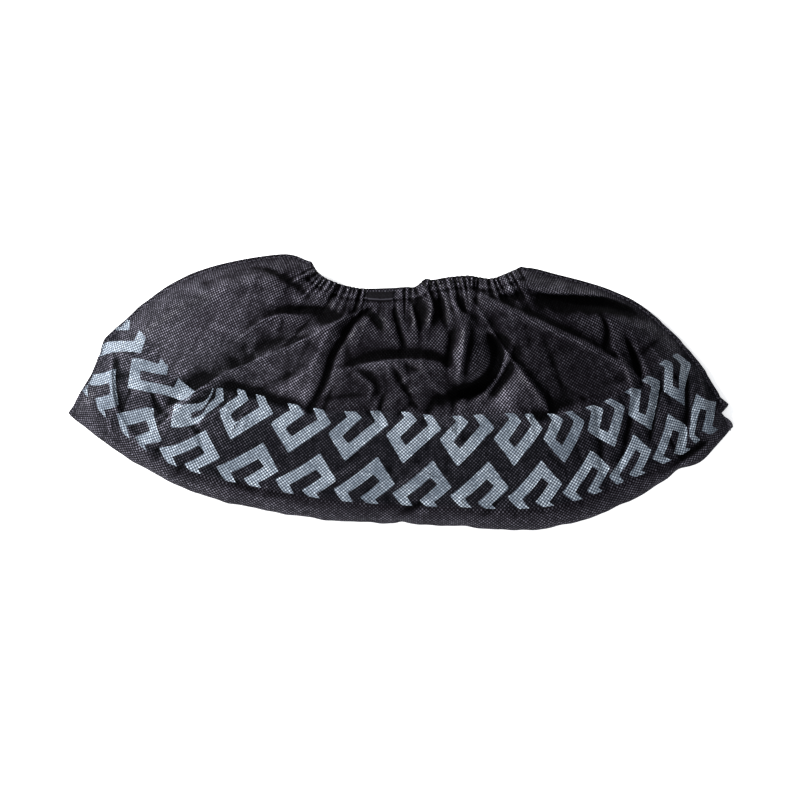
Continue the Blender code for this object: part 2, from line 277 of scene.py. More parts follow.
upper, under = Layer(upper_plan, upper_rows), Layer(under_plan, under_rows)
crown = through([line.crown for line in LINES], columns)[:, None]
swell = SOLE_FOLD + LOFT * crown * through(PROFILE, upper_rows)
at_hem = ease((upper_rows - 3) / 2)
upper.height = upper.middle + upper.inside * (swell * (1 - at_hem) + MOUTH_RISE * at_hem)
under.height = under.middle * (1 - under.inside)
hem_length = upper.hem_run[-1]
print("crown at", round(upper.height.max() / MM, 1), "mm, hem", round(hem_length / MM), "mm long")

# %% [markdown]
# ## Folds
#
# A crumpled overshoe is read by its folds: a long lap that runs from the toe's print to the mouth, a deep
# pocket in the middle with a sharp lip, taut ridges to the heel, and short laps all round the mouth. Each
# is a stroke through a few places, in millimetres from the middle of the box. A plain fold is a bump or a
# groove across the stroke. A lap is raised on the right of the stroke and drops on its left, and its tuck
# slides the crest over the drop, so that the cloth really folds over itself.

# %% The strokes
Fold = namedtuple("Fold", "name places lift width drop tuck", defaults=(0.0, 0.0))
FOLDS = [
    Fold("toe lap", [(-137, -14), (-112, 7), (-83, 20), (-57, 31), (-33, 44)], 4.5, 6.0, 4.2, 1.8),
    Fold("print lap", [(-141, -12), (-124, 0), (-110, 6)], 2.0, 3.4, 2.8, 1.1),
    Fold("toe tip fold", [(-173, 40), (-173, 10), (-169, -12), (-153, -36)], 1.2, 3.0, 1.1, 0.4),
    Fold("toe hood", [(-120, 64), (-87, 74), (-66, 66), (-53, 55)], -2.0, 2.0),
    Fold("toe hood roll", [(-112, 58), (-85, 66), (-68, 59)], 1.2, 5.1),
    Fold("pit under the gathers", [(-66, 47), (-52, 49), (-36, 44)], -4.2, 3.8),
    Fold("toe edge", [(-96, 32), (-78, 44), (-60, 46)], 1.9, 2.7, 1.6, 0.8),
    Fold("toe dimple", [(-104, 22), (-92, 12), (-84, 9)], -1.0, 2.7),
    Fold("centre crease", [(-12, 54), (-27, 42), (-39, 24), (-45, 7), (-54, -11)], -5.2, 2.5),
    Fold("centre crease side", [(-19, 57), (-36, 42), (-48, 24), (-54, 6)], 2.0, 3.9),
    Fold("left panel upper", [(-84, 22), (-64, 33), (-44, 40)], 1.9, 3.1),
    Fold("left panel lower", [(-72, -2), (-62, 6), (-54, 14)], 1.6, 2.7),
    Fold("flap", [(-29, 15), (-3, 19), (18, 18), (31, 13)], 1.6, 2.8, 3.0, 1.0),
    Fold("small wrinkle", [(-29, 13), (-17, 4), (-18, -3)], 1.8, 1.9, 1.2, 0.6),
    Fold("flap fan a", [(-5, 16), (3, 1), (11, -11)], -2.4, 2.0),
    Fold("flap fan b", [(-10, 14), (-8, 2), (-12, -8)], -1.5, 2.0),
    Fold("flap fan c", [(14, 13), (20, 4), (33, -6)], 1.5, 2.2),
    Fold("deep pocket", [(52, 38), (58, 20), (48, 4), (25, -4)], -13.1, 7.6),
    Fold("pocket floor", [(58, 16), (50, 6), (36, -1)], -4.5, 3.1),
    Fold("finger", [(40, 40), (37, 22), (35, 5)], 5.2, 2.5, 1.8, 0.7),
    Fold("finger valley", [(31, 38), (29, 24), (27, 10)], -2.8, 2.5),
    Fold("pocket lip", [(66, 24), (59, 10), (50, -3)], 4.0, 2.4, 3.8, 1.1),
    Fold("pocket wrinkle", [(30, 2), (36, -3), (41, -8)], 1.9, 1.6, 1.1, 0.5),
    Fold("taut ridge", [(38, 62), (77, 44), (119, 24), (152, 3)], 4.0, 3.6, 1.5, 0.4),
    Fold("second ridge", [(46, 50), (62, 25), (83, -2), (89, -13)], 3.2, 3.4, 1.2, 0.4),
    Fold("panel groove", [(84, 34), (92, 14), (99, -6)], -1.1, 3.8),
    Fold("heel valley a", [(119, 48), (123, 36), (122, 25)], -3.0, 1.5),
    Fold("heel valley b", [(134, 33), (140, 19), (144, 5)], -4.6, 2.2),
    Fold("heel pleat", [(126, 29), (136, 12), (139, -2)], 2.4, 2.4),
    Fold("cuff hollow", [(84, 56), (104, 53), (125, 51), (146, 45)], -5.8, 4.2),
    Fold("cuff", [(157, 46), (138, 52), (124, 57), (102, 58), (86, 59), (72, 64)], 1.4, 3.6, 4.3, 0.7),
    Fold("heel tuck", [(173, 33), (171, 13), (172, -11), (168, -36)], -2.8, 4.4),
    Fold("heel tuck side", [(181, 24), (181, 6), (183, -10)], 1.9, 2.9),
    Fold("print valley a", [(156, 10), (152, -11), (149, -30)], -2.5, 2.5),
    Fold("print valley b", [(141, 0), (136, -23), (131, -48)], -2.0, 2.7),
    Fold("print valley c", [(117, -9), (119, -29), (122, -54)], -1.8, 2.9),
    Fold("heel bottom", [(157, -50), (172, -38), (188, -28)], -3.2, 2.4),
    Fold("print top lap", [(-109, 4), (-86, -3), (-66, -9), (-48, -12)], -1.5, 2.5, -2.0, -0.8),
    Fold("print top lap 2", [(70, -11), (84, -16), (97, -9), (108, -6)], -1.5, 2.5, -2.0, -0.8),
    Fold("print crease d", [(-128, -16), (-120, -26), (-118, -38)], -1.5, 2.2),
    Fold("print crease e", [(-150, 6), (-146, -8), (-139, -14)], -1.9, 2.0),
    Fold("sole crease", [(-52, -62), (-40, -52), (-26, -44)], 1.1, 1.7),
    Fold("sole crease 2", [(-6, -60), (6, -51), (20, -40)], 1.0, 1.7),
    Fold("sole wave", [(-120, -42), (-90, -58), (-60, -64)], -1.0, 3.4),
    Fold("mouth pleat a", [(-4, 52), (-1, 38), (3, 25)], -3.8, 2.0),
    Fold("mouth pleat b", [(4, 58), (8, 46), (10, 34)], 2.6, 2.4, 1.9, 0.4),
    Fold("mouth pleat c", [(15, 64), (19, 50), (17, 39)], 2.6, 2.4, 2.0, 0.4),
    Fold("mouth pleat d", [(24, 60), (24, 48), (28, 36)], -3.2, 2.0),
    Fold("mouth pleat e", [(30, 60), (34, 50), (42, 43)], 2.2, 2.2, 1.8, 0.4),
    Fold("dark triangle", [(-22, 48), (-16, 44), (-11, 37)], -3.5, 2.5),
    Fold("knot", [(62, 64), (66, 62), (69, 61)], 2.6, 1.7),
    Fold("knot shadow", [(58, 58), (65, 56), (73, 57)], -2.8, 2.4),
]
PLACES_PER_STROKE = 64
print(len(FOLDS), "named folds, the longest name:", max((f.name for f in FOLDS), key=len))


# %% One stroke's heights and slides
def creased(d):
    """1 on a fold's line, and a narrow round crest with hollow flanks, as thin crisp cloth has."""
    return np.exp(0.3 - np.sqrt(0.09 + 2.2 * d**2))


def stroke_field(fold, plan):
    """What a fold adds to each point of the plan: its height, and its slide across the stroke."""
    steps = np.linspace(0, len(fold.places) - 1, PLACES_PER_STROKE)
    stroke = through(np.array(fold.places) * MM, steps)
    away = plan[:, :, None, :] - stroke
    distance = np.linalg.norm(away, axis=-1)
    nearest = distance.argmin(-1)
    d = np.take_along_axis(distance, nearest[..., None], -1)[..., 0] / (fold.width * MM)
    gap = np.take_along_axis(away, nearest[..., None, None], 2)[:, :, 0]
    left = left_of(unit(np.gradient(stroke, axis=0)))[nearest]
    d = np.copysign(d, (left * gap).sum(-1))
    strength = np.sin(np.pi * np.clip(nearest / (PLACES_PER_STROKE - 1), 0.04, 0.96)) ** 0.55
    sharp = 0.5 if fold.drop else 1.0
    bump = np.where(d < 0, creased(d), creased(d / sharp))
    drop = np.where(d > 0, d * np.exp(1 - d), 0)
    slide = np.exp(-(((d + 0.35) / 0.5) ** 2)) - np.exp(-(((d - 0.35) / 0.5) ** 2))
    up = strength * (fold.lift * bump - abs(fold.drop) * drop) * MM
    return up, strength * slide * fold.tuck * MM, left


def smoothed(height, times):
    """A grid of heights, averaged with its neighbours this many times."""
    for _ in range(times):
        wide = np.pad(height, 1, mode="edge")
        height = (wide[:-2, 1:-1] + wide[2:, 1:-1] + wide[1:-1, :-2] + wide[1:-1, 2:]) / 4
    return height


def without_steps(values):
    """A grid of values without the small steps of a sharp crest that crosses the grid aslant."""
    for _ in range(2):
        values = (values + smoothed(values, 1)) / 2
    return values


def folded(layer):
    """Heights and slides of all the named folds on a layer."""
    height, slide = np.zeros_like(layer.inside), np.zeros_like(layer.plan)
    for fold in FOLDS:
        up, across, left = stroke_field(fold, layer.plan)
        height += up
        slide += across[..., None] * left
    fade = layer.calm * ease(layer.from_hem / (9 * MM) - 0.6)
    slide *= fade[..., None]
    return without_steps(height * fade), np.dstack([without_steps(slide[..., k]) for k in (0, 1)])


fold_height, fold_slide = folded(upper)
print("folds from", np.round(fold_height.min() / MM, 1), "to", np.round(fold_height.max() / MM, 1), "mm")

# %% [markdown]
# Between the named folds thin cloth keeps many small creases. They are short strokes, scattered with a
# fixed seed. Most of them follow the cloth's own lines from the sole to the mouth, because the elastic
# pulls that way. They are lower in the printed band, where the print stiffens the cloth, and where the
# cloth is pulled flat.


# %% Small creases
CREASES = 420
PULLED_FLAT = [((98, 22), (52, 34)), ((-128, 38), (42, 36))]  # centre and reach in mm: heel's side and toe


def small_creases(layer, count, seed):
    """Height of many short creases, mostly along the layer's columns."""
    rng = np.random.default_rng(seed)
    height = np.zeros_like(layer.inside)
    headings = np.gradient(layer.plan, axis=1)
    for _ in range(count):
        i = rng.integers(8, ACROSS - 8)
        j = int(len(layer.rows) * rng.beta(2.2, 1.6) * 0.995)
        heading = headings[i, j] / np.linalg.norm(headings[i, j])
        turn = rng.normal(0, 0.55) + (np.pi / 2 if rng.random() < 0.18 else 0)
        c, s = np.cos(turn), np.sin(turn)
        heading = np.array([c * heading[0] - s * heading[1], s * heading[0] + c * heading[1]])
        length, width = rng.uniform(7, 30) * MM, rng.uniform(1.3, 3.4) * MM
        gap = layer.plan - layer.plan[i, j]
        along = gap @ heading
        off = gap @ left_of(heading) + 0.10 * along**2 / length
        ends = np.exp(-((along / (0.5 * length)) ** 4))
        skew = np.where(off > 0, 1.0, rng.uniform(0.35, 0.8))
        lift = rng.uniform(0.2, 1.15) * MM * rng.choice([-1, 1])
        height += lift * ends * np.exp(-np.abs(off) / (width * skew))
    return height


in_band = ease(upper_rows - 0.75) * ease(2.15 - upper_rows)
under_band = ease((0.9 - upper_rows) / 0.6)
crease_height = small_creases(upper, CREASES, 11) * upper.calm * (1 - 0.55 * in_band)
for centre, reach in PULLED_FLAT:
    crease_height *= 1 - 0.72 * np.exp(-(((upper.plan / MM - centre) / reach) ** 2).sum(-1))
crease_height *= 1 - 0.5 * under_band
print(CREASES, "small creases up to", round(np.abs(crease_height).max() / MM, 2), "mm")

# %% [markdown]
# ## The gathered mouth
#
# The elastic was stretched while it was sewn into the hem, and when it let go it drew the cloth into about
# ninety fine pleats round the mouth. They stand square to the hem, and below it they merge into fewer and
# wider folds that fade out. Only at the patch over the elastic's joined ends does the hem stay flat.

# %% Pleats along the hem
PleatSet = namedtuple("PleatSet", "count reach depth")  # number on each half of the mouth, and millimetres
PLEATS = [PleatSet(47, 12.5, 2.9), PleatSet(21, 18, 2.6), PleatSet(9.5, 30, 2.4)]
PATCH_PLACE = 0.362  # share of the hem's length
PATCH_LENGTH, PATCH_WIDTH = 15 * MM, 6.8 * MM
CASING = 6.2 * MM  # the hem's turned-in part, which holds the elastic


def pleats(layer, seed):
    """Height of the pleats: three sets, from the fine ones in the hem to the wide ones below it."""
    rng = np.random.default_rng(seed)
    place, q = layer.hem_place, layer.from_hem
    height = 0
    for count, reach, depth in PLEATS:
        along, posts = place * count, np.arange(int(count) + 2)
        wander = np.interp(along, posts, rng.uniform(-0.28, 0.28, len(posts)))
        strength = np.interp(along, posts, rng.uniform(0.35, 1.0, len(posts)))
        slant = 0.5 * np.sin(2 * np.pi * place) * q / (reach * MM)
        wave = 1 - np.sqrt(0.03 + 0.97 * np.sin(np.pi * (along + wander + slant)) ** 2)
        height = height + depth * MM * strength * (wave - 0.4) * np.exp(-((q / (reach * MM)) ** 2))
    to_patch = np.abs(place - PATCH_PLACE) * layer.hem_run[-1] - PATCH_LENGTH / 2
    flat = 1 - (1 - ease(to_patch / (3 * MM))) * np.exp(-((q / (11 * MM)) ** 4))
    return height * flat * rounded(layer.to_toe, 6 * MM) * rounded(layer.to_heel, 6 * MM)


def casing(layer):
    """The hem's tube: raised over the elastic, with a groove where its seam holds the cloth down."""
    q = layer.from_hem
    tube = 0.7 * MM * ease(q / (1.2 * MM)) * ease((CASING - q) / (1.4 * MM) + 0.5)
    return tube - 0.6 * MM * np.exp(-(((q - CASING - 0.8 * MM) / (1.1 * MM)) ** 2))


hem_height = pleats(upper, 21) + casing(upper) * upper.inside
print("pleats from", round(hem_height.min() / MM, 2), "to", round(hem_height.max() / MM, 2), "mm")

# %% Put the heights together
LAYER_GAP = 1.3 * MM  # away from the fins the upper layer keeps at least this much above the under one
OFF_FLOOR = 0.2 * MM  # the under layer's height over the floor


def pressed(layer):
    """Half the welded fin's thickness: one layer of cloth, or two where the hem is turned in."""
    return CLOTH * 1.08 * (1 + ease((CASING + 2 * MM - layer.from_hem) / (2 * MM)))


shape = fold_height + crease_height * (1 - 0.6 * at_hem) + hem_height * upper.calm**0.3
lowest = upper.middle * (1 - upper.inside) + pressed(upper) * (1 - upper.inside) + LAYER_GAP * upper.inside
top = np.dstack([upper.plan + fold_slide, np.maximum(upper.height + shape, lowest)])

under_lift = 1.9 * MM * np.exp(-((under.from_hem / (12 * MM)) ** 2)) * under.inside
under_shape = under_lift - 0.9 * np.abs(pleats(under, 34)) - pressed(under) * (1 - under.inside)
bottom = np.dstack([under.plan, np.maximum(under.height + under_shape, OFF_FLOOR)])
top[:, 0, 2] = bottom[:, 0, 2] = SOLE_FOLD
print("upper layer up to", round(top[..., 2].max() / MM, 1), "mm")

# %% [markdown]
# ## The cloth as one sheet
#
# A grid of points becomes a mesh by joining each point with its neighbours. The two layers share the row
# of points on the sole's fold, as the real sheet does. At the toe and the heel their edges stay raw and lie
# on each other in a fin. At the mouth each layer turns in on itself, to make the tube that the elastic runs
# in: a half circle of rows, and a few more that lead back inside, parallel to the outer cloth.


# %% Turn the hem in
TURN = 0.9 * MM  # radius of the hem's fold


def outward(grid, side):
    """Unit normals of a grid of points, up for the upper layer and down for the under one."""
    return unit(side * np.cross(np.gradient(grid, axis=0), np.gradient(grid, axis=1)))


def plain(layer, side):
    """Unit normals of a layer's smooth form, without its folds and pleats."""
    return outward(np.dstack([layer.plan, layer.height]), side)


def turn_radius(layer):
    """Radius of the hem's fold at each column, down to the cloth's own thickness in the fins."""
    return CLOTH * 1.04 + (TURN - CLOTH * 1.04) * layer.ends[:, -1]


def with_hem(grid, layer, side, rows_back):
    """A layer's rows, then the hem's roll and the pleated cloth that leads back inside it."""
    normal = plain(layer, side)
    edge, away = grid[:, -1], normal[:, -1]
    ahead = unit(edge - grid[:, -2])
    turn = turn_radius(layer)[:, None]
    roll = [edge + turn * (np.sin(a) * ahead - (1 - np.cos(a)) * away) for a in np.radians((60, 120, 180))]
    back = [grid[:, -1 - k] - 2 * turn * normal[:, -1 - k] for k in rows_back]
    return np.concatenate([grid, np.stack(roll + back, axis=1)], axis=1)


upper_sheet = with_hem(top, upper, 1, (3, 6, 9))
under_sheet = with_hem(bottom, under, -1, (2, 4, 6))
print("rows with the hem:", upper_sheet.shape[1], "and", under_sheet.shape[1])

# %% [markdown]
# ## Charts for the print and the weave
#
# A pattern that belongs to the cloth has to bend with it, so it is drawn on a flat chart of the sheet, not
# in space. The print's chart has a length along the band and a height across it. Three tables say where
# points of the pattern stand: the hooks' feet on the band's low edge, the low corners of the turned hooks,
# and the turned hooks' tips on the high edge. Eased lines through these places spread the chart over the
# columns, tighter where the real cloth is foreshortened. Marks that belong to no hook lead it on to the
# ends of the band, and two of them hide a stretch of it under the toe's lap.

# %% The print's chart
PITCH = 35.3 * MM  # length of one repeat of the print
BAND = 56 * MM  # height of the printed band
FEET_IN_REPEAT, TIPS_IN_REPEAT = (6.4 * MM, 21.5 * MM), (3.4 * MM, 18.2 * MM)  # along the band
APEX_IN_REPEAT, APEX_HEIGHT = 0.8 * MM, 26.5 * MM  # the low corner of a turned hook

# Each repeat's number and the places of its points, in millimetres from the middle
FEET = {-4: (-161.8, -152.2), -3: (-133.7, -119.3), -2: (-98.4, -83.4), -1: (-63.7, -48.1)}
FEET |= {0: (-28.4, -12.9), 1: (7.5, 22.4), 2: (42.8, 57.1), 3: (77.4, 92.4), 4: (109.1, 121.7)}
FEET |= {5: (133.1, 147.4), 6: (162.4, 174.3)}
APEXES = {-5: -181.2, -4: -164.2, -3: -137.8, -2: -101.1, -1: -66.7, 0: -33.2, 1: 1.5, 2: 33.8}
APEXES |= {3: 67.9, 4: 97.8, 5: 128.3, 6: 149.8, 7: 170.1}
TIPS = {-5: (-164.2, -154.1), -4: (-140.8, -131.6), -2: (-95.6, -84.0), -1: (-64.3, -48.7)}
TIPS |= {0: (-30.8, -14.7), 1: (3.3, 15.8), 2: (33.8, 45.7), 3: (65.5, 76.2), 4: (89.4, 100.6)}
TIPS |= {5: (111.3, 124.0), 6: (134.8, 146.5), 7: (155.5, 164.5)}

# Marks that belong to no hook: place and chart place, in millimetres
LOW_ENDS = [(-191.7, -176.1), (176.6, 247.5), (192.4, 281)]
APEX_ENDS = [(-190.0, -190.0), (172.4, 258.0), (183.5, 281.0)]
HIGH_MARKS = [(-112.5, -117.0), (-110.5, -93.0), (173.0, 282.0)]  # the toe's lap, and the heel
TOE_LAP_AT, HEEL_CREASE_AT = -111, 155
HEEL_RISE = 14 * MM  # beyond the heel's crease the band's low edge is hidden, and this much of its height
CHART = 14 * PITCH  # side of the square chart
CHART_START = (-6.5 * PITCH, -0.5 * BAND)


def marks_of(table, in_repeat, others):
    """A table's points as marks of place and chart place, in millimetres, sorted with some others."""
    marks = list(others)
    for repeat, places in table.items():
        marks += [(place, (repeat * PITCH + own) / MM) for place, own in zip(places, in_repeat)]
    return sorted(marks)


def eased_through(places, values, reach, at):
    """Straight lines through a few values, smoothed over a reach on both sides."""
    weights = {-1: 1, -0.5: 2, 0: 2, 0.5: 2, 1: 1}
    return sum(np.interp(at + reach * s, places, values) * w for s, w in weights.items()) / 8


def along_band(marks, row):
    """Each column's chart place along the band, from marks on one mesh row, sharper at the creases."""
    at = upper.plan[:, row, 0] / MM
    places, values = np.array(marks).T
    at_lap, at_heel = np.exp(-(((at - TOE_LAP_AT) / 7) ** 2)), ease((at - HEEL_CREASE_AT) / 15)
    sharp = at_lap if row == high_edge else at_heel
    return eased_through(places, values * MM, 6.5 - 5.5 * sharp, at)[:, None]


low_edge, high_edge = np.searchsorted(upper_rows, 1.0), np.searchsorted(upper_rows, 2.0)
apex_row = np.searchsorted(upper_rows, 1 + APEX_HEIGHT / BAND)
apex_table = {repeat: (place,) for repeat, place in APEXES.items()}
low_u = along_band(marks_of(FEET, FEET_IN_REPEAT, LOW_ENDS), low_edge)
apex_u = along_band(marks_of(apex_table, (APEX_IN_REPEAT,), APEX_ENDS), apex_row)
high_u = along_band(marks_of(TIPS, TIPS_IN_REPEAT, HIGH_MARKS), high_edge)
low_v = HEEL_RISE * ease(columns - 13)[:, None]


def band_v(grid):
    """Height of each point of the upper layer over the band's low edge, measured along the cloth."""
    steps = np.linalg.norm(np.diff(grid, axis=1), axis=-1)
    run = np.concatenate([np.zeros((len(grid), 1)), np.cumsum(steps, axis=1)], axis=1)
    below = low_v + run - run[:, low_edge, None]
    within = low_v + (BAND - low_v) * (upper_rows - 1)
    above = BAND + run - run[:, high_edge, None]
    return np.where(upper_rows < 1, below, np.where(upper_rows > 2, above, within))


def chart(v):
    """Chart places of a grid's points, from 0 to 1, for their heights over the band's low edge."""
    to_apex = np.clip(v / APEX_HEIGHT, 0, 1)
    to_tips = np.clip((v - APEX_HEIGHT) / (BAND - APEX_HEIGHT), 0, 1)
    u = low_u + (apex_u - low_u) * to_apex + (high_u - apex_u) * to_tips
    return np.dstack([(u - CHART_START[0]) / CHART, (v - CHART_START[1]) / CHART])


def with_hem_rows(values, **padding):
    """A value for each point of the upper layer, with more for its rows beyond the hem's edge."""
    return np.pad(values, ((0, 0), (0, hem_rows)), **padding)


hem_rows = upper_sheet.shape[1] - top.shape[1]
upper_v = with_hem_rows(band_v(top), mode="edge")
upper_v[:, -hem_rows:] += np.arange(1, hem_rows + 1) * MM
upper_chart = chart(upper_v)
under_v = -CHART - np.arange(under_sheet.shape[1]) * MM  # far off the print's part of the chart
under_chart = chart(np.broadcast_to(under_v, under_sheet.shape[:2]))
print("repeats of the print along the band:", np.round(np.ptp(low_u) / PITCH, 1))


# %% Join both layers into one mesh
def quads(across, rows, flip):
    """Point numbers of the faces between the points of a grid."""
    i, j = np.meshgrid(np.arange(across - 1), np.arange(rows - 1), indexing="ij")
    corner = (i * rows + j).ravel()
    ring = [corner, corner + rows, corner + rows + 1, corner + 1]
    return np.stack(ring[::-1] if flip else ring, axis=1)


def under_numbers(upper_grid, under_grid):
    """The under layer's point numbers in the joined mesh: its first row is the upper layer's."""
    across, rows = under_grid.shape[:2]
    own = across * upper_grid.shape[1] + np.arange(across * (rows - 1)).reshape(across, rows - 1)
    return np.concatenate([np.arange(across)[:, None] * upper_grid.shape[1], own], axis=1).ravel()


def per_corner(upper_values, under_values):
    """Values of both layers' points, in the order of the joined mesh's face corners."""
    size = upper_values.shape[2]
    above = upper_values.reshape(-1, size)[quads(*upper_values.shape[:2], False)]
    below = under_values.reshape(-1, size)[quads(*under_values.shape[:2], True)]
    return np.concatenate([above, below]).reshape(-1, size)


def new_object(name, mesh):
    """Puts a mesh into the scene as an object at the origin."""
    made = bpy.data.objects.new(name, mesh)
    bpy.context.scene.collection.objects.link(made)
    return made


def from_bmesh(name, bm):
    """A finished bmesh as an object."""
    mesh = bpy.data.meshes.new(name)
    bm.to_mesh(mesh)
    bm.free()
    return new_object(name, mesh)


def mesh_from(name, points, loops):
    """A smooth-shaded mesh from an array of points and a list of faces."""
    mesh = bpy.data.meshes.new(name)
    mesh.from_pydata(points.tolist(), [], loops)
    mesh.shade_smooth()
    return mesh


def sheet_object(name, upper_grid, under_grid):
    """Both layers as one object, joined along the sole's fold."""
    points = np.concatenate([upper_grid.reshape(-1, 3), under_grid[:, 1:].reshape(-1, 3)])
    below = under_numbers(upper_grid, under_grid)[quads(*under_grid.shape[:2], True)]
    loops = np.concatenate([quads(*upper_grid.shape[:2], False), below])
    return new_object(name, mesh_from(name, points, loops.tolist()))


cloth = sheet_object("overshoe_cloth", upper_sheet, under_sheet)
print(cloth.name, len(cloth.data.vertices), "points,", len(cloth.data.polygons), "faces")

# %% [markdown]
# The weave needs a second chart, on which the cloth is laid out flat with as little stretch as possible.
# That is what Blender's unwrapping does. It is slow on many faces and would flatten every small crease, so
# a coarse copy of the sheet is unwrapped, and its chart is refined with the same smooth curve as before.

# %% The weave's chart
COARSE = (4, 4, 2)  # steps between the points that the coarse copy keeps: across, upper rows, under rows


def corner_points(obj):
    """The number of the point at each face corner."""
    corners = np.empty(len(obj.data.loops), int)
    obj.data.loops.foreach_get("vertex_index", corners)
    return corners


def unwrapped(obj):
    """Unwraps an object and gives the chart place of each of its points."""
    obj.data.uv_layers.new(name="flat")
    bpy.context.view_layer.objects.active = obj
    obj.select_set(True)
    bpy.ops.object.mode_set(mode="EDIT")
    bpy.ops.mesh.select_all(action="SELECT")
    bpy.ops.uv.unwrap(method="MINIMUM_STRETCH", no_flip=True, iterations=20, margin=0.0)
    bpy.ops.object.mode_set(mode="OBJECT")
    corners = corner_points(obj)
    places = np.empty(2 * len(corners))
    obj.data.uv_layers["flat"].data.foreach_get("uv", places)
    flat = np.empty((len(obj.data.vertices), 2))
    flat[corners] = places.reshape(-1, 2)
    return flat


def refined(values, across, rows):
    """A coarse grid's values on a finer grid."""
    values = through(values, np.linspace(0, len(values) - 1, across))
    values = np.swapaxes(values, 0, 1)
    return np.swapaxes(through(values, np.linspace(0, len(values) - 1, rows)), 0, 1)


coarse_upper = upper_sheet[:: COARSE[0], :: COARSE[1]]
coarse_under = under_sheet[:: COARSE[0], :: COARSE[2]]
coarse = sheet_object("coarse_sheet", coarse_upper, coarse_under)
flat = unwrapped(coarse)
upper_flat = flat[: coarse_upper[..., 0].size].reshape(*coarse_upper.shape[:2], 2)
under_flat = flat[under_numbers(coarse_upper, coarse_under)].reshape(*coarse_under.shape[:2], 2)
bpy.data.objects.remove(coarse)

band_line = low_edge // COARSE[1]
heading = upper_flat[-1, band_line] - upper_flat[0, band_line]
heading /= np.linalg.norm(heading)
turned = np.array([[heading[0], -heading[1]], [heading[1], heading[0]]])
to_metres = steps_of(coarse_upper[:, band_line]).sum() / steps_of(upper_flat[:, band_line]).sum()
middle = upper_flat.mean((0, 1))
upper_weave = refined((upper_flat - middle) @ turned * to_metres, *upper_sheet.shape[:2])
under_weave = refined((under_flat - middle) @ turned * to_metres, *under_sheet.shape[:2])


def add_chart(mesh, name, values):
    """A UV map with one place for each face corner."""
    mesh.uv_layers.new(name=name).data.foreach_set("uv", np.asarray(values, np.float32).ravel())


add_chart(cloth.data, "weave", per_corner(upper_weave, under_weave))
add_chart(cloth.data, "print_chart", per_corner(upper_chart, under_chart))

# %% [markdown]
# ## Nodes written as expressions
#
# Materials and Geometry Nodes are both graphs. A small class that stands for a node's output lets Python's
# own operators add the Math nodes, so that a mask reads as a formula. Every other node comes from one
# method: first its settings, then the values or links of its sockets.


# %% Graphs
class Wire:
    """A node's output. Python's operators on it add Math nodes."""

    def __init__(self, graph, socket):
        self.graph, self.socket = graph, socket

    def beside(self, name):
        """Another output of the same node."""
        return Wire(self.graph, self.socket.node.outputs[name])

    def reckon(self, operation, *values):
        return self.graph.node("ShaderNodeMath", {"operation": operation}, values)

    def __add__(self, other):
        return self.reckon("ADD", self, other)

    def __sub__(self, other):
        return self.reckon("SUBTRACT", self, other)

    def __rsub__(self, other):
        return self.reckon("SUBTRACT", other, self)

    def __mul__(self, other):
        return self.reckon("MULTIPLY", self, other)

    def __truediv__(self, other):
        return self.reckon("DIVIDE", self, other)

    def __abs__(self):
        return self.reckon("ABSOLUTE", self)

    __radd__, __rmul__ = __add__, __mul__


class Graph:
    """A node tree that is built by calls."""

    def __init__(self, tree):
        self.tree = tree

    def node(self, kind, settings=None, values=(), output=0):
        """Adds a node: its settings first, then the values or links of its sockets, by name or in order."""
        made = self.tree.nodes.new(kind)
        for name, value in (settings or {}).items():
            setattr(made, name, value)
        sockets = [s for s in made.inputs if s.enabled]
        for key, value in values.items() if isinstance(values, dict) else enumerate(values):
            socket = sockets[key] if isinstance(key, int) else next(s for s in sockets if s.name == key)
            if isinstance(value, Wire):
                self.tree.links.new(value.socket, socket)
            else:
                socket.default_value = value
        outputs = [s for s in made.outputs if s.enabled]
        found = outputs[output] if isinstance(output, int) else made.outputs[output]
        return Wire(self, found)

    def scaled(self, vector, factor):
        """A vector or a colour times a number."""
        return self.node("ShaderNodeVectorMath", {"operation": "SCALE"}, {"Vector": vector, "Scale": factor})

    def parted(self, vector):
        """A vector's X; its Y and Z are beside it."""
        return self.node("ShaderNodeSeparateXYZ", None, [vector])


print("graphs are ready")


# %% A material's graph
class Finish(Graph):
    """A Principled material whose colour, roughness and bump come from expressions."""

    def __init__(self, name, **constants):
        self.material = bpy.data.materials.new(name)
        self.material.use_nodes = True
        super().__init__(self.material.node_tree)
        self.shader = self.tree.nodes["Principled BSDF"]
        for socket, value in constants.items():
            self.shader.inputs[socket.replace("_", " ")].default_value = value

    def feed(self, socket, wire):
        self.tree.links.new(wire.socket, self.shader.inputs[socket])

    def noise(self, place, scale, detail=3.0, roughness=0.6, distortion=0.0):
        """Noise from 0 to 1, centred on 0.5."""
        values = {"Vector": place, "Scale": scale, "Detail": detail, "Roughness": roughness}
        return self.node("ShaderNodeTexNoise", None, values | {"Distortion": distortion})

    def creases(self, place, scale):
        """Sharp crests that run through the surface like the creases of crumpled cloth, from 0 to 1."""
        return 1 - abs(self.noise(place, scale, 2, 0.5, 0.5) * 4 - 2)

    def step(self, value, low, high):
        """0 below low, 1 above high, smooth between; low may be above high."""
        values = {"Value": value, "From Min": low, "From Max": high}
        return self.node("ShaderNodeMapRange", {"interpolation_type": "SMOOTHSTEP"}, values)

    def blend(self, factor, a, b):
        """A colour between a and b."""
        return self.node("ShaderNodeMix", {"data_type": "RGBA"}, {"Factor": factor, "A": a, "B": b})

    def wave(self, run, length):
        """A sine from -1 to 1 along a run, with this wavelength."""
        return run.reckon("SINE", run * (2 * np.pi / length))

    def bump(self, height, distance):
        """Feeds a height from 0 to 1 to the shader's normal, where 1 is distance high."""
        self.feed("Normal", self.node("ShaderNodeBump", None, {"Height": height, "Distance": distance}))


PLUM, COOL, NAVY = (1.32, 1.0, 1.60), (1.05, 1.0, 1.25), (0.80, 1.0, 1.55)  # casts: red, green and blue


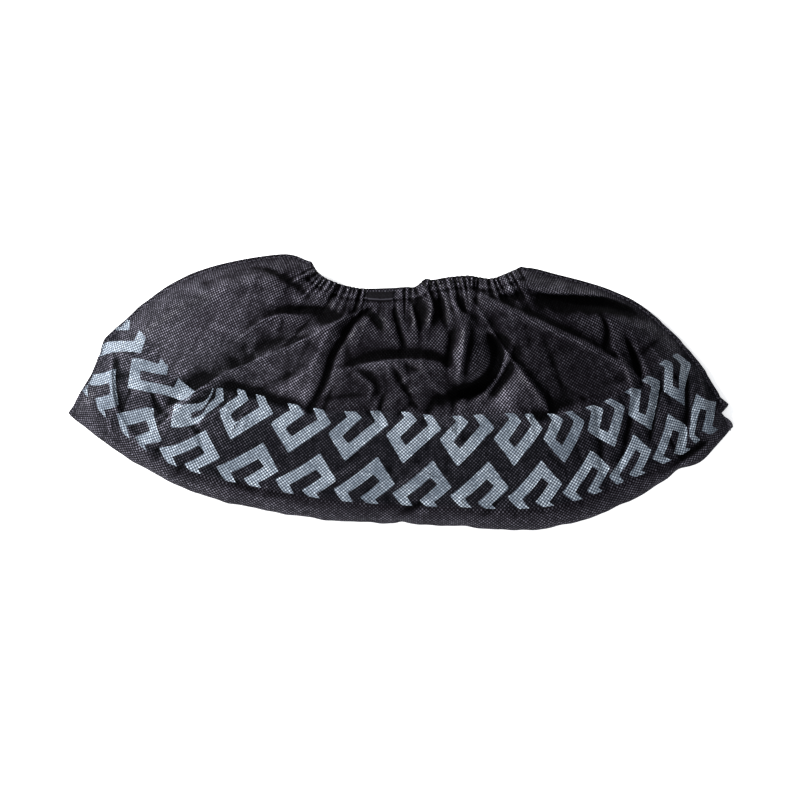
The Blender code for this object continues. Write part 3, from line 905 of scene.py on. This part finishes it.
def grey(value, cast=(1, 1, 1)):
    """A grey, or a grey with a cast, as a colour."""
    return (*(value * part for part in cast), 1.0)


print("finishes are ready")

# %% [markdown]
# ## Finishes
#
# Spunbond cloth is a felt of fine plastic threads that is pressed together in a square pattern of small
# dots. The pressed dots are smooth film, so they look paler and glossier than the matt threads between
# them. The colour also carries painted light. A table of soft-edged areas paints see-through light where
# the cloth lies flat on a pale floor, so those parts are greyer than the hollow and folded ones, and paints
# highlights on lit panels, fold lips and glints. A second table paints shade where the folds lie in each
# other's shadow. In the printed band a thin clear coat makes the ground darker and bluer.

# %% Cloth
DOT_PITCH = 1.6 * MM
Area = namedtuple("Area", "centre reach_x reach_y amount")  # in millimetres from the middle
# Painted light: areas painted paler, for light seen through the pores where the cloth lies flat, and for
# highlights on lit panels, fold lips and glints.
PAINTED_LIGHT_AREAS = [
    Area((-150, 10), 52, 46, 1.00),
    Area((-118, 45), 42, 34, 0.60),
    Area((-165, -30), 36, 26, 0.55),
    Area((110, 62), 60, 10, 0.08),
    Area((172, 25), 22, 30, 0.35),
    Area((-75, 16), 34, 20, 0.52),
    Area((-50, 30), 16, 12, 0.32),
    Area((66, 62), 3, 3, 1.00),
    Area((-84, 22), 10, 6, 0.85),
    Area((-66, 31), 10, 6, 0.75),
    Area((-60, 0), 9, 8, 0.75),
    Area((-14, 14), 12, 4, 0.55),
    Area((62, -5), 7, 8, 0.70),
    Area((60, -1), 11, 11, 0.32),
    Area((58, 16), 5, 8, 0.75),
    Area((49, 6), 6, 4, 0.50),
    Area((37, 16), 5, 13, 0.35),
    Area((30, 57), 14, 9, 0.25),
    Area((-55, 60), 14, 12, 0.30),
]
SHADY_AREAS = [
    Area((100, 53), 12, 7, 2.2),
    Area((118, 50), 16, 6, 2.2),
    Area((-26, 16), 24, 24, 0.45),
    Area((88, 12), 30, 18, 0.25),
    Area((-28, 47), 34, 7, 0.35),
    Area((24, 47), 28, 11, 0.40),
    Area((38, 3), 16, 8, 0.9),
    Area((54, 24), 6, 12, 0.9),
    Area((6, 22), 26, 5, 0.2),
    Area((148, 22), 9, 9, 0.6),
    Area((-108, -2), 22, 6, 0.7),
]


def amount_in(areas, grid):
    """The largest amount of the areas that each point lies in, fading out at their edges."""
    amount = np.zeros(grid.shape[:2])
    for area in areas:
        away = (grid[..., :2] / MM - area.centre) / (area.reach_x, area.reach_y)
        amount = np.maximum(amount, area.amount * np.exp(-(((away**2).sum(-1)) ** 1.5)))
    return amount


def fold_light_of(height, shady):
    """Painted light and shade of the folds: 0 in the bottom of a fold, 1 on a crest and 0.5 on plain cloth,
    from heights over the smooth form, lowered where the shady areas paint shade.
    """
    height = height / MM
    # How far each point stands over the cloth within about 14, 5 and 2 mm of it
    wide = (height - refined(smoothed(height[::4, ::4], 24), *height.shape)) / 4.0
    broad = (height - smoothed(height, 40)) / 1.5
    fine = (smoothed(height, 1) - smoothed(height, 9)) / 0.28
    return 0.5 + 0.5 * np.tanh(0.7 * wide + 0.7 * broad + 0.5 * fine - shady)


# Painted highlights: the strip below the band and the gathers are painted paler, as lit slopes.
SOLE_HIGHLIGHT, GATHER_HIGHLIGHT = 0.62, 0.25  # paleness below the band, and of the gathers, which catch the light
# The turned-in hem's rows get a fixed value of the folds' painted light and shade.
TURNED_IN_FOLD_LIGHT = 0.4
# The under layer's paleness is painted see-through light; its relief of 0.5 paints neither shade nor
# highlight.
UNDER_LIGHT_AND_COAT = (0.6, 0.0, 0.5)  # paleness, coat and relief of the under layer

# The folds' painted light and shade: dark in the hollows, pale on the crests.
upper_fold_light = fold_light_of(top[..., 2] - upper.height, amount_in(SHADY_AREAS, top))
upper_fold_light = with_hem_rows(upper_fold_light, constant_values=TURNED_IN_FOLD_LIGHT)
band_mask = ease((upper_rows - 0.98) / 0.06) * ease((2.02 - upper_rows) / 0.06)
band_mask = with_hem_rows(np.broadcast_to(band_mask, upper.from_hem.shape))
sole_highlight = SOLE_HIGHLIGHT * ease((1.0 - upper_rows) / 0.5)
gather_highlight = GATHER_HIGHLIGHT * np.exp(-((upper.from_hem / (9 * MM)) ** 2))
upper_painted_light = with_hem_rows(np.maximum(sole_highlight, gather_highlight))
# Painted highlights and see-through light from the areas' table.
upper_painted_light = np.maximum(upper_painted_light, amount_in(PAINTED_LIGHT_AREAS, upper_sheet))
upper_light_and_coat = np.dstack([upper_painted_light, band_mask, upper_fold_light]).reshape(-1, 3)
under_light_and_coat = np.broadcast_to(UNDER_LIGHT_AND_COAT, (under_sheet[:, 1:, 0].size, 3))
paint = np.concatenate([upper_light_and_coat, under_light_and_coat]).ravel()
# The attribute holds painted light, the band's coat, and the folds' painted light and shade.
cloth.data.attributes.new("paint", "FLOAT_VECTOR", "POINT").data.foreach_set("vector", paint)
print("folds' relief from", np.round(upper_fold_light.min(), 2), "to", np.round(upper_fold_light.max(), 2))


def embossing(finish, place):
    """The dots of the cloth: 1 in a dot, a random value for each dot, and the distance from its middle."""
    turned = finish.node("ShaderNodeMapping", None, {"Vector": place, "Rotation": (0, 0, np.radians(45))})
    cells = {"Vector": turned, "Scale": 1 / DOT_PITCH, "Randomness": 0.0}
    distance = finish.node("ShaderNodeTexVoronoi", {"voronoi_dimensions": "2D"}, cells)
    return finish.step(distance, 0.40, 0.20), finish.parted(distance.beside("Color")), distance


def cloth_finish():
    """Black spunbond cloth, with painted light and shade in its colour."""
    finish = Finish("black_spunbond", Specular_IOR_Level=0.02, Coat_Roughness=0.38)
    place = finish.node("ShaderNodeUVMap", {"uv_map": "weave"})
    # The attribute's X is painted light, its Y the band's coat and its Z the folds' painted light and shade.
    paler_with_painted_light = finish.parted(finish.node("ShaderNodeAttribute", {"attribute_name": "paint"}, (), "Vector"))
    coated, fold_light = paler_with_painted_light.beside("Y"), paler_with_painted_light.beside("Z")
    dots, luck, _ = embossing(finish, place)
    threads = finish.noise(place, 2600, 3, 0.7, 0.6)
    cloudy = finish.noise(place, 420, 3, 0.65)
    broad = finish.noise(place, 38, 3, 0.6)
    # Painted glints: random broad patches where the dots are painted brighter, as if they caught the light.
    painted_glint = finish.step(cloudy * 0.45 + broad * 0.55, 0.36, 0.64)
    # Painted highlight on the folds' crests, and painted shade in their hollows.
    crest_highlight = finish.step(fold_light, 0.35, 0.95)
    fold_shade = finish.step(fold_light, 0.45, 0.08)

    # Ground and dots are painted paler where the attribute paints light.
    ground = finish.blend(paler_with_painted_light, grey(0.0016, PLUM), grey(0.0085, COOL))
    ground = finish.blend(coated * 0.8, ground, grey(0.0016, NAVY))
    spots = finish.blend(paler_with_painted_light, grey(0.072, COOL), grey(0.250, COOL))
    strength = dots * (0.10 + 0.45 * painted_glint + 0.85 * crest_highlight) * (0.35 + 0.65 * luck) * (1 - 0.15 * coated)
    # The threads' texture, times painted shade in the folds' hollows.
    threads_and_painted_shade = (0.45 + 1.1 * threads) * (1 - 0.90 * fold_shade)
    finish.feed("Base Color", finish.scaled(finish.blend(strength, ground, spots), threads_and_painted_shade))
    finish.feed("Roughness", 0.86 - 0.34 * strength)
    finish.feed("Coat Weight", strength * (1 - fold_shade) * 0.30)
    crumple = finish.creases(place, 130)
    ripple = finish.noise(place, 260, 3, 0.6, 0.4)
    finish.bump(threads * 0.10 + cloudy * 0.12 + crumple * 0.55 + ripple * 0.45 - dots * 0.12, 0.8 * MM)
    return finish.material


cloth.data.materials.append(cloth_finish())
print("cloth's finish:", len(cloth.data.materials[0].node_tree.nodes), "nodes")

# %% Print, elastic, patch and welds
def print_finish():
    """Pale blue-grey rubber, thin enough to show the cloth's dots, with painted glints."""
    finish = Finish("pale_tread_print", Specular_IOR_Level=0.25)
    place = finish.node("ShaderNodeUVMap", {"uv_map": "weave"})
    dots, luck, distance = embossing(finish, place)
    lines = finish.step(distance, 0.30, 0.56)
    cloudy = finish.noise(place, 500, 3, 0.65)
    broad = finish.noise(place, 32, 3, 0.6)
    # Painted glints: random broad patches where the print is painted brighter, as if its dots caught the
    # light.
    painted_print_glint = finish.step(broad * 0.65 + cloudy * 0.35, 0.36, 0.66)
    ink = finish.blend(painted_print_glint, (0.064, 0.084, 0.112, 1.0), (0.130, 0.160, 0.200, 1.0))
    spots = finish.blend(painted_print_glint, (0.15, 0.178, 0.215, 1.0), (0.58, 0.64, 0.70, 1.0))
    gaps = finish.blend(painted_print_glint, (0.012, 0.017, 0.026, 1.0), (0.022, 0.029, 0.042, 1.0))
    colour = finish.blend(dots * (0.35 + 0.65 * luck), ink, spots)
    colour = finish.blend(lines, colour, gaps)
    finish.feed("Base Color", finish.scaled(colour, 0.65 + 0.7 * cloudy))
    finish.feed("Roughness", 0.42 + 0.25 * cloudy)
    finish.bump(cloudy * 0.3 + dots * 0.25 - lines * 0.55, 0.25 * MM)
    return finish.material


def elastic_finish():
    """Black rubber threads wrapped in fine yarn, in ribs along the band."""
    finish = Finish("black_elastic", Specular_IOR_Level=0.10)
    along = finish.parted(finish.node("ShaderNodeUVMap", {"uv_map": "strip"}))
    ribs = finish.wave(along.beside("Y"), 0.9 * MM)
    wraps = finish.wave(along, 0.7 * MM)
    weave = 0.5 + 0.35 * ribs + 0.15 * wraps
    finish.feed("Base Color", finish.blend(weave, grey(0.008), grey(0.035)))
    finish.feed("Roughness", 0.85 - 0.25 * weave)
    finish.bump(weave, 0.25 * MM)
    return finish.material


def patch_finish():
    """Cloth that a hot press has melted smooth, with its dots nearly gone and a painted highlight along one
    edge.
    """
    finish = Finish("welded_patch", Specular_IOR_Level=0.04)
    place = finish.node("ShaderNodeUVMap", {"uv_map": "strip"})
    across = finish.parted(place).beside("Y") / PATCH_WIDTH
    # Painted highlight: a pale line near one long edge, where the edge catches the light.
    edge = finish.step(across, 0.74, 0.80) - finish.step(across, 0.86, 0.92)
    dots, _, _ = embossing(finish, place)
    cloudy = finish.noise(place, 700, 4, 0.6)
    paler_with_painted_light = dots * 0.3 + cloudy * 0.5 + edge * (2.5 + 4 * cloudy)
    finish.feed("Base Color", finish.blend(paler_with_painted_light / 6, grey(0.0006, PLUM), grey(0.034, COOL)))
    finish.feed("Roughness", 0.60 + 0.22 * cloudy)
    finish.bump(cloudy * 0.6 - dots * 0.2, 0.18 * MM)
    return finish.material


def weld_finish():
    """The smooth shiny dashes of the seam's weld."""
    finish = Finish("seam_weld", Specular_IOR_Level=0.15)
    place = finish.node("ShaderNodeTexCoord", None, (), "Object")
    cloudy = finish.noise(place, 1500, 3, 0.6)
    finish.feed("Base Color", finish.blend(cloudy, grey(0.010, COOL), grey(0.060, COOL)))
    finish.feed("Roughness", 0.30 + 0.25 * cloudy)
    finish.bump(cloudy, 0.08 * MM)
    return finish.material


print("four more finishes are ready")

# %% [markdown]
# ## The anti-slip print
#
# Soft rubber is printed on the sole: two rows of hooks, the upper row turned half round so that the rows
# interlock. One hook is drawn as a thin plate, cut into small cells so that it can bend. Geometry Nodes
# repeat it along the chart and then lift each point of it onto the cloth: the place on the chart says where
# on the cloth it lies, and the cloth's normal says which way is up.

# %% One hook of the print
Corner = namedtuple("Corner", "x y")  # millimetres along and across the band
HOOK = [
    Corner(0, 0),
    Corner(6.4, 0),
    Corner(2.75, 7.5),
    Corner(18.3, 20.1),
    Corner(22.2, 16.2),
    Corner(10.5, 5.0),
    Corner(14.5, 0),
    Corner(21.5, 0),
    Corner(19.0, 4.1),
    Corner(31.1, 15.1),
    Corner(20.6, 29.5),
    Corner(-5.9, 9.2),
]
ROUNDING = 0.8 * MM  # how far in from each corner the plate is rounded
CELL = 1.25 * MM  # side of the cells that the plate is cut into
INK = 0.16 * MM  # thickness of the print
SUNK = 0.05 * MM  # how deep its underside lies in the cloth
TURNED_START = 21.4 * MM  # where the upper row's first turned hook has its origin, in its repeat
WOBBLE = 0.5 * MM  # how ragged the print's edges are


def hook_object():
    """One hook as a closed plate, cut into cells, with its low edge on y = 0."""
    bm = bmesh.new()
    face = bm.faces.new([bm.verts.new((c.x * MM, c.y * MM, -SUNK)) for c in HOOK])
    bmesh.ops.bevel(bm, geom=list(bm.verts), offset=ROUNDING, segments=2, profile=0.5, affect="VERTICES")
    if sum(f.normal.z for f in bm.faces) < 0:
        bmesh.ops.reverse_faces(bm, faces=list(bm.faces))
    xs, ys = [c.x * MM for c in HOOK], [c.y * MM for c in HOOK]
    for axis, low, high in (((1, 0, 0), min(xs), max(xs)), ((0, 1, 0), min(ys), max(ys))):
        for cut in np.arange(low + CELL, high, CELL):
            geometry = list(bm.verts) + list(bm.edges) + list(bm.faces)
            bmesh.ops.bisect_plane(bm, geom=geometry, plane_co=np.array(axis) * cut, plane_no=axis)
    raised = bmesh.ops.extrude_face_region(bm, geom=list(bm.faces), use_keep_orig=True)["geom"]
    raised_points = [v for v in raised if isinstance(v, bmesh.types.BMVert)]
    bmesh.ops.translate(bm, verts=raised_points, vec=(0, 0, INK))
    bmesh.ops.recalc_face_normals(bm, faces=list(bm.faces))
    return from_bmesh("hook", bm)


hook = hook_object()
print("one hook has", len(hook.data.polygons), "faces")


# %% Geometry Nodes trees
class Maker(Graph):
    """A Geometry Nodes tree with named inputs besides its geometry."""

    def __init__(self, name, **kinds):
        super().__init__(bpy.data.node_groups.new(name, "GeometryNodeTree"))
        sockets, self.keys = self.tree.interface, {}
        sockets.new_socket("Geometry", in_out="INPUT", socket_type="NodeSocketGeometry")
        for label, kind in kinds.items():
            socket = sockets.new_socket(label, in_out="INPUT", socket_type="NodeSocket" + kind)
            self.keys[label] = socket.identifier
        sockets.new_socket("Geometry", in_out="OUTPUT", socket_type="NodeSocketGeometry")
        self.given = self.node("NodeGroupInput")

    def vector(self, x, y, z=0.0):
        """Numbers or wires as one vector."""
        return self.node("ShaderNodeCombineXYZ", None, [x, y, z])

    def summed(self, operation, a, b):
        """Two vectors added or subtracted."""
        return self.node("ShaderNodeVectorMath", {"operation": operation}, [a, b])

    def shape_of(self, label):
        """The geometry of the object that an input names."""
        return self.node("GeometryNodeObjectInfo", None, {"Object": self.given.beside(label)}, "Geometry")

    def named(self, name, kind="FLOAT_VECTOR"):
        """A stored attribute."""
        return self.node("GeometryNodeInputNamedAttribute", {"data_type": kind}, {"Name": name})

    def stored(self, geometry, name, value, **settings):
        """The geometry with a value stored under a name."""
        values = {"Geometry": geometry, "Name": name, "Value": value}
        return self.node("GeometryNodeStoreNamedAttribute", settings, values)

    def close(self, geometry):
        """Gives the geometry its finish and leads it out of the tree."""
        values = {"Geometry": geometry, "Material": self.given.beside("Finish")}
        done = self.node("GeometryNodeSetMaterial", None, values)
        self.tree.links.new(done.socket, self.tree.nodes.new("NodeGroupOutput").inputs[0])
        return self


def baked(name, maker, inputs, start=None):
    """Runs a Geometry Nodes tree on an object and gives its result as a plain mesh object."""
    host = new_object(name, start or bpy.data.meshes.new(name))
    modifier = host.modifiers.new("nodes", "NODES")
    modifier.node_group = maker.tree
    for label, value in inputs.items():
        modifier[maker.keys[label]] = value
    bpy.context.view_layer.update()
    graph = bpy.context.evaluated_depsgraph_get()
    mesh = bpy.data.meshes.new_from_object(host.evaluated_get(graph), depsgraph=graph)
    bpy.data.objects.remove(host)
    mesh.name = name
    return new_object(name, mesh)


print("trees can be built and run")


# %% The print
def print_maker():
    """Two rows of hooks, laid on the cloth by its chart."""
    numbers = {"Repeats": "Int", "First": "Int", "Pitch": "Float", "Band": "Float", "Start": "Float"}
    maker = Maker("tread print", Cloth="Object", Hook="Object", Finish="Material", Wobble="Float", **numbers)
    pitch = maker.given.beside("Pitch")

    def row(start, height, turn):
        first = maker.vector(maker.given.beside("First") * pitch + start, height)
        line = {"Count": maker.given.beside("Repeats"), "Start Location": first}
        points = maker.node("GeometryNodeMeshLine", None, line | {"Offset": maker.vector(pitch, 0.0)})
        values = {"Points": points, "Instance": maker.shape_of("Hook"), "Rotation": (0, 0, turn)}
        return maker.node("GeometryNodeInstanceOnPoints", None, values)

    joined = maker.node("GeometryNodeJoinGeometry")
    for line in (row(0.0, 0.0, 0.0), row(maker.given.beside("Start"), maker.given.beside("Band"), np.pi)):
        maker.tree.links.new(line.socket, joined.socket.node.inputs[0])
    plates = maker.node("GeometryNodeRealizeInstances", None, {"Geometry": joined})

    place = maker.node("GeometryNodeInputPosition")
    ragged = maker.node("ShaderNodeTexNoise", None, {"Vector": place, "Scale": 700.0, "Detail": 1.0}, "Color")
    ragged = maker.scaled(maker.summed("SUBTRACT", ragged, (0.5, 0.5, 0.5)), maker.given.beside("Wobble"))
    drawn = maker.parted(maker.summed("ADD", place, ragged))
    u, v = (drawn - CHART_START[0]) / CHART, (drawn.beside("Y") - CHART_START[1]) / CHART
    on_chart = maker.vector(u, v)
    source = {"Mesh": maker.shape_of("Cloth"), "UV Map": maker.named("print_chart"), "Sample UV": on_chart}

    def sampled(value):
        settings = {"data_type": "FLOAT_VECTOR"}
        return maker.node("GeometryNodeSampleUVSurface", settings, source | {"Value": value})

    ground, weave = sampled(place), sampled(maker.named("weave"))
    out = maker.scaled(sampled(maker.node("GeometryNodeInputNormal")), maker.parted(place).beside("Z"))
    missed = maker.node("FunctionNodeBooleanMath", {"operation": "NOT"}, [ground.beside("Is Valid")])
    plates = maker.stored(plates, "weave", weave, data_type="FLOAT2", domain="CORNER")
    plates = maker.stored(plates, "missed", missed, data_type="BOOLEAN")
    moved = {"Geometry": plates, "Position": maker.summed("ADD", ground, out)}
    plates = maker.node("GeometryNodeSetPosition", None, moved)
    lost = {"Geometry": plates, "Selection": maker.named("missed", "BOOLEAN")}
    return maker.close(maker.node("GeometryNodeDeleteGeometry", None, lost))


print_inputs = {
    "Cloth": cloth,
    "Hook": hook,
    "Finish": print_finish(),
    "Wobble": WOBBLE,
    "Repeats": 14,
    "First": -6,
    "Pitch": PITCH,
    "Band": BAND,
    "Start": TURNED_START,
}
tread = baked("tread_print", print_maker(), print_inputs)
bpy.data.objects.remove(hook)
print(tread.name, len(tread.data.polygons), "faces")

# %% [markdown]
# ## The elastic and its patch
#
# The elastic is a flat ring inside the hem's tube, so it shows only where one looks into the mouth. Its two
# ends lie on each other under a patch that was pressed on hot. Both are made in the same way: rings of
# points, placed on the hem by their column and their distance from its edge, and joined into a closed skin.


# %% Places on the hem
def on_hem(grid, normal, column, into, lift):
    """The point at a column, this far in from the hem, and this far out from the cloth's face."""
    run = run_of(grid[column, ::-1])
    at = [np.interp(into, run, grid[column, ::-1, k]) for k in range(3)]
    out = [np.interp(into, run, normal[column, ::-1, k]) for k in range(3)]
    return np.stack(at, -1) + np.stack(out, -1) * np.asarray(lift)[..., None]


def skin(name, rings, closed):
    """A closed mesh through rings of points, on a closed path or with its ends capped."""
    count, around = rings.shape[:2]
    i = np.arange(count if closed else count - 1)[:, None]
    j = np.arange(around)[None]
    far, side = (i + 1) % count, (j + 1) % around
    loops = np.stack([i * around + j, i * around + side, far * around + side, far * around + j], -1)
    loops = loops.reshape(-1, 4).tolist()
    if not closed:
        loops += [list(range(around))[::-1], list(range((count - 1) * around, count * around))]
    mesh = mesh_from(name, rings.reshape(-1, 3), loops)
    bm = bmesh.new()
    bm.from_mesh(mesh)
    bmesh.ops.recalc_face_normals(bm, faces=list(bm.faces))
    bm.to_mesh(mesh)
    bm.free()
    return new_object(name, mesh)


def strip_chart(obj, along, across):
    """The strip map: each point's place along and across, in metres."""
    places = np.stack([np.repeat(along, len(across)), np.tile(across, len(along))], -1)
    add_chart(obj.data, "strip", places[corner_points(obj)])


top_normal, bottom_normal = outward(top, 1), outward(bottom, -1)
print("the pleated hem's edge is", round(steps_of(top[:, -1]).sum() / MM), "mm long")

# %% The elastic ring
ELASTIC_WIDTH, ELASTIC_THICKNESS, ELASTIC_INSET = 5.0 * MM, 0.7 * MM, 0.7 * MM
ACROSS_RING = ELASTIC_WIDTH * np.array([0, 0.03, 0.5, 0.97, 1, 0.97, 0.5, 0.03])  # places round its section
UP_RING = np.array([0.5, 1, 1, 1, 0.5, 0, 0, 0])  # and their heights, as shares of its thickness
LOOP_OUT = 1.0 * MM  # how far the ring bows out at the mouth's corners


def elastic_sections(grid, layer, side, columns):
    """Rectangles across the elastic, in the tube between the outer cloth and the turned-in cloth."""
    rings = []
    normal, turns = plain(layer, side), turn_radius(layer)
    for column in columns:
        thick = min(ELASTIC_THICKNESS, 2 * (turns[column] - CLOTH) - 0.02 * MM)
        far, near = -CLOTH - 0.05 * MM - thick, -CLOTH - 0.05 * MM
        rings.append(on_hem(grid, normal, column, ELASTIC_INSET + ACROSS_RING, far + (near - far) * UP_RING))
    return np.array(rings)


def corner_loop(first, last, outwards):
    """Rings that lead round a corner of the mouth, from one layer's last ring to the other's first."""
    loop = []
    for share in np.linspace(0, 1, 7)[1:-1]:
        bow = LOOP_OUT * np.sin(np.pi * share) * np.array([outwards, 0, 0])
        loop.append(first * (1 - share) + last * share + bow)
    return np.array(loop)


to_fin = np.minimum(upper.to_toe[:, -1], upper.to_heel[:, -1]) - FIN
inner = np.flatnonzero(to_fin > 0.3 * MM)[::3]
there = elastic_sections(top, upper, 1, inner)
mirrored = [0, 7, 6, 5, 4, 3, 2, 1]  # the same section seen from the other side
back = elastic_sections(bottom, under, -1, inner[::-1])[:, mirrored]
at_heel, at_toe = corner_loop(there[-1], back[0], 1), corner_loop(back[-1], there[0], -1)
rings = np.concatenate([there, at_heel, back, at_toe])
elastic = skin("elastic_ring", rings, True)
path = run_of(rings.mean(1))
strip_chart(elastic, path, ACROSS_RING)
elastic.data.materials.append(elastic_finish())
print(elastic.name, "is", round(path[-1] / MM), "mm round")

# %% The patch over the elastic's ends
PATCH_IN = 1.8 * MM  # from the hem's edge
PATCH_THICKNESS = 0.45 * MM
PATCH_FACE, PATCH_SOLE = 0.12 * MM, 0.02 * MM  # added to its face and its underside, over the cloth

middle_run = PATCH_PLACE * hem_length
patch_columns = np.flatnonzero(np.abs(upper.hem_run - middle_run) < PATCH_LENGTH / 2)
shares = np.linspace(0, 1, 13)
into = PATCH_IN + PATCH_WIDTH * shares
rings = []
for column in patch_columns:
    end = (np.abs(upper.hem_run[column] - middle_run) / (PATCH_LENGTH / 2)) ** 12
    edge = np.maximum(end, np.abs(2 * shares - 1) ** 10)
    face = on_hem(top, top_normal, column, into, PATCH_FACE + PATCH_THICKNESS * (1 - 0.6 * edge))
    sole = on_hem(top, top_normal, column, into[::-1], np.full(len(shares), PATCH_SOLE))
    rings.append(np.concatenate([face, sole]))
patch = skin("splice_patch", np.array(rings), False)
strip_chart(patch, upper.hem_run[patch_columns], PATCH_WIDTH * np.concatenate([shares, shares[::-1]]))
patch.data.materials.append(patch_finish())
print(patch.name, "spans", len(patch_columns), "columns")

# %% [markdown]
# ## The seams at the toe and the heel
#
# The seams aren't sewn. A wheel with small teeth presses the two layers together and melts them, and leaves
# a row of short smooth dashes close to the edge. Geometry Nodes set one dash at each step along a guide.

# %% Weld marks along a guide
DASH_LENGTH, DASH_WIDTH, DASH_HEIGHT, DASH_STEP = 1.7 * MM, 0.7 * MM, 0.12 * MM, 3.0 * MM
DASH_ROUNDING = 0.3 * MM
DASH_INSET = 1.9 * MM  # from the toe's or the heel's edge


def guide_mesh(grids):
    """Guides along the fins: points with the cloth's normal, joined by edges."""
    points, normals, edges = [], [], []
    for grid, normal, to_end in grids:
        for row in range(2, grid.shape[1] - 3):
            edges.append((len(points), len(points) + 1))
            order = np.argsort(to_end[:, row])
            nearest = order[np.searchsorted(to_end[order, row], DASH_INSET)]
            points.append(grid[nearest, row])
            normals.append(normal[nearest, row])
        edges.pop()
    mesh = bpy.data.meshes.new("weld guides")
    mesh.from_pydata(np.array(points).tolist(), edges, [])
    out = mesh.attributes.new("out", "FLOAT_VECTOR", "POINT")
    out.data.foreach_set("vector", np.array(normals).ravel())
    return mesh


def dash_object():
    """One weld mark: a flat pad with rounded edges."""
    bm = bmesh.new()
    bmesh.ops.create_cube(bm, size=1.0)
    bmesh.ops.scale(bm, verts=bm.verts, vec=(DASH_LENGTH, DASH_WIDTH, DASH_HEIGHT))
    corners = [e for e in bm.edges if abs((e.verts[0].co - e.verts[1].co).z) > DASH_HEIGHT / 2]
    bmesh.ops.bevel(bm, geom=corners, offset=DASH_ROUNDING, segments=3, profile=0.5, affect="EDGES")
    return from_bmesh("dash", bm)


def weld_maker():
    """Dashes at even steps along the guides, flat on the cloth."""
    maker = Maker("weld marks", Dash="Object", Finish="Material", Step="Float")
    curve = maker.node("GeometryNodeMeshToCurve", None, [maker.given])
    values = {"Curve": curve, "Length": maker.given.beside("Step")}
    curve = maker.node("GeometryNodeResampleCurve", {"mode": "LENGTH"}, values)
    upright = {"Vector": maker.named("out")}
    upright = maker.node("FunctionNodeAlignRotationToVector", {"axis": "Z"}, upright)
    lying = {"Rotation": upright, "Vector": maker.node("GeometryNodeInputTangent")}
    lying = maker.node("FunctionNodeAlignRotationToVector", {"axis": "X", "pivot_axis": "Z"}, lying)
    values = {"Points": curve, "Instance": maker.shape_of("Dash"), "Rotation": lying}
    dashes = maker.node("GeometryNodeInstanceOnPoints", None, values)
    return maker.close(maker.node("GeometryNodeRealizeInstances", None, {"Geometry": dashes}))


guides = guide_mesh([
    (top, top_normal, upper.to_toe),
    (top, top_normal, upper.to_heel),
    (bottom, bottom_normal, under.to_toe),
    (bottom, bottom_normal, under.to_heel),
])
dash = dash_object()
weld_inputs = {"Dash": dash, "Finish": weld_finish(), "Step": DASH_STEP}
welds = baked("weld_marks", weld_maker(), weld_inputs, guides)
bpy.data.objects.remove(dash)
print(welds.name, len(welds.data.polygons), "faces")

# %% [markdown]
# ## Thickness
#
# Up to here the cloth is a bare surface. Its thickness shows only at its raw edges, so Solidify is told to
# make just these rims, inwards from the outer face. That leaves all the other faces to the folds.

# %% Thicken the cloth
thicken = cloth.modifiers.new("thickness", "SOLIDIFY")
thicken.thickness = CLOTH
thicken.offset = -1.0
thicken.use_rim_only = True

# %% [markdown]
# ## Floor, light and camera
#
# The overshoe lies on a plain pale floor and is seen from straight above. The light is a bright soft sky, a
# large window from the upper left that draws the folds, and a weaker one from the lower left that catches
# the slopes at the toe and along the sole.

# %% Floor
floor_mesh = bpy.data.meshes.new("floor")
floor_mesh.from_pydata([(-3, -3, 0), (3, -3, 0), (3, 3, 0), (-3, 3, 0)], [], [(0, 1, 2, 3)])
floor = new_object("floor", floor_mesh)
paper = Finish("white_floor", Roughness=0.9, Specular_IOR_Level=0.1, Emission_Strength=0.55)
paper.shader.inputs["Base Color"].default_value = (0.90, 0.90, 0.90, 1.0)
paper.shader.inputs["Emission Color"].default_value = (1.0, 1.0, 1.0, 1.0)
floor.data.materials.append(paper.material)
print("floor", [round(v, 1) for v in floor.dimensions])


# %% Light
def window(name, place, size, watts):
    """A square area light that faces the overshoe."""
    data = bpy.data.lights.new(name, "AREA")
    data.shape, data.size, data.energy = "SQUARE", size, watts
    lamp = bpy.data.objects.new(name, data)
    lamp.location = place
    lamp.rotation_euler = (-lamp.location).to_track_quat("-Z", "Y").to_euler()
    bpy.context.scene.collection.objects.link(lamp)


scene = bpy.context.scene
scene.world = scene.world or bpy.data.worlds.new("sky")
scene.world.use_nodes = True
sky = next(n for n in scene.world.node_tree.nodes if n.type == "BACKGROUND")
sky.inputs["Color"].default_value = (0.93, 0.96, 1.0, 1.0)
sky.inputs["Strength"].default_value = 0.55
window("main window", (-1.35, 0.75, 0.80), 0.45, 84)
window("low window", (-0.9, -1.1, 0.55), 0.6, 24)
scene.view_settings.view_transform = "Standard"
print("sky and two windows")

# %% Camera
VIEW_WIDTH = 478.4 * MM  # width of the view, at the overshoe's height
LENS, SENSOR = 150.0, 36.0  # millimetres, as on a camera
AIM = (-0.3 * MM, -4.8 * MM)  # the view's middle
OVERSHOE_HEIGHT = 15 * MM

camera_data = bpy.data.cameras.new("camera")
camera_data.lens, camera_data.sensor_width = LENS, SENSOR
camera = bpy.data.objects.new("camera", camera_data)
camera.location = (*AIM, VIEW_WIDTH * LENS / SENSOR + OVERSHOE_HEIGHT)
scene.collection.objects.link(camera)
scene.camera = camera
print("camera", round(camera.location.z, 2), "m above the floor")

# %% [markdown]
# ## Bind the pieces to the body
#
# Each piece rides on the overshoe's body and takes the place of the plain solid that it details.

# %% Bind the pieces
slots = {cloth: "cloth", elastic: "elastic", patch: "patch", tread: "cloth", welds: "cloth"}
for piece, slot in slots.items():
    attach(piece, "root")
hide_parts("shell")
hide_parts("elastic_band")
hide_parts("elastic_splice")
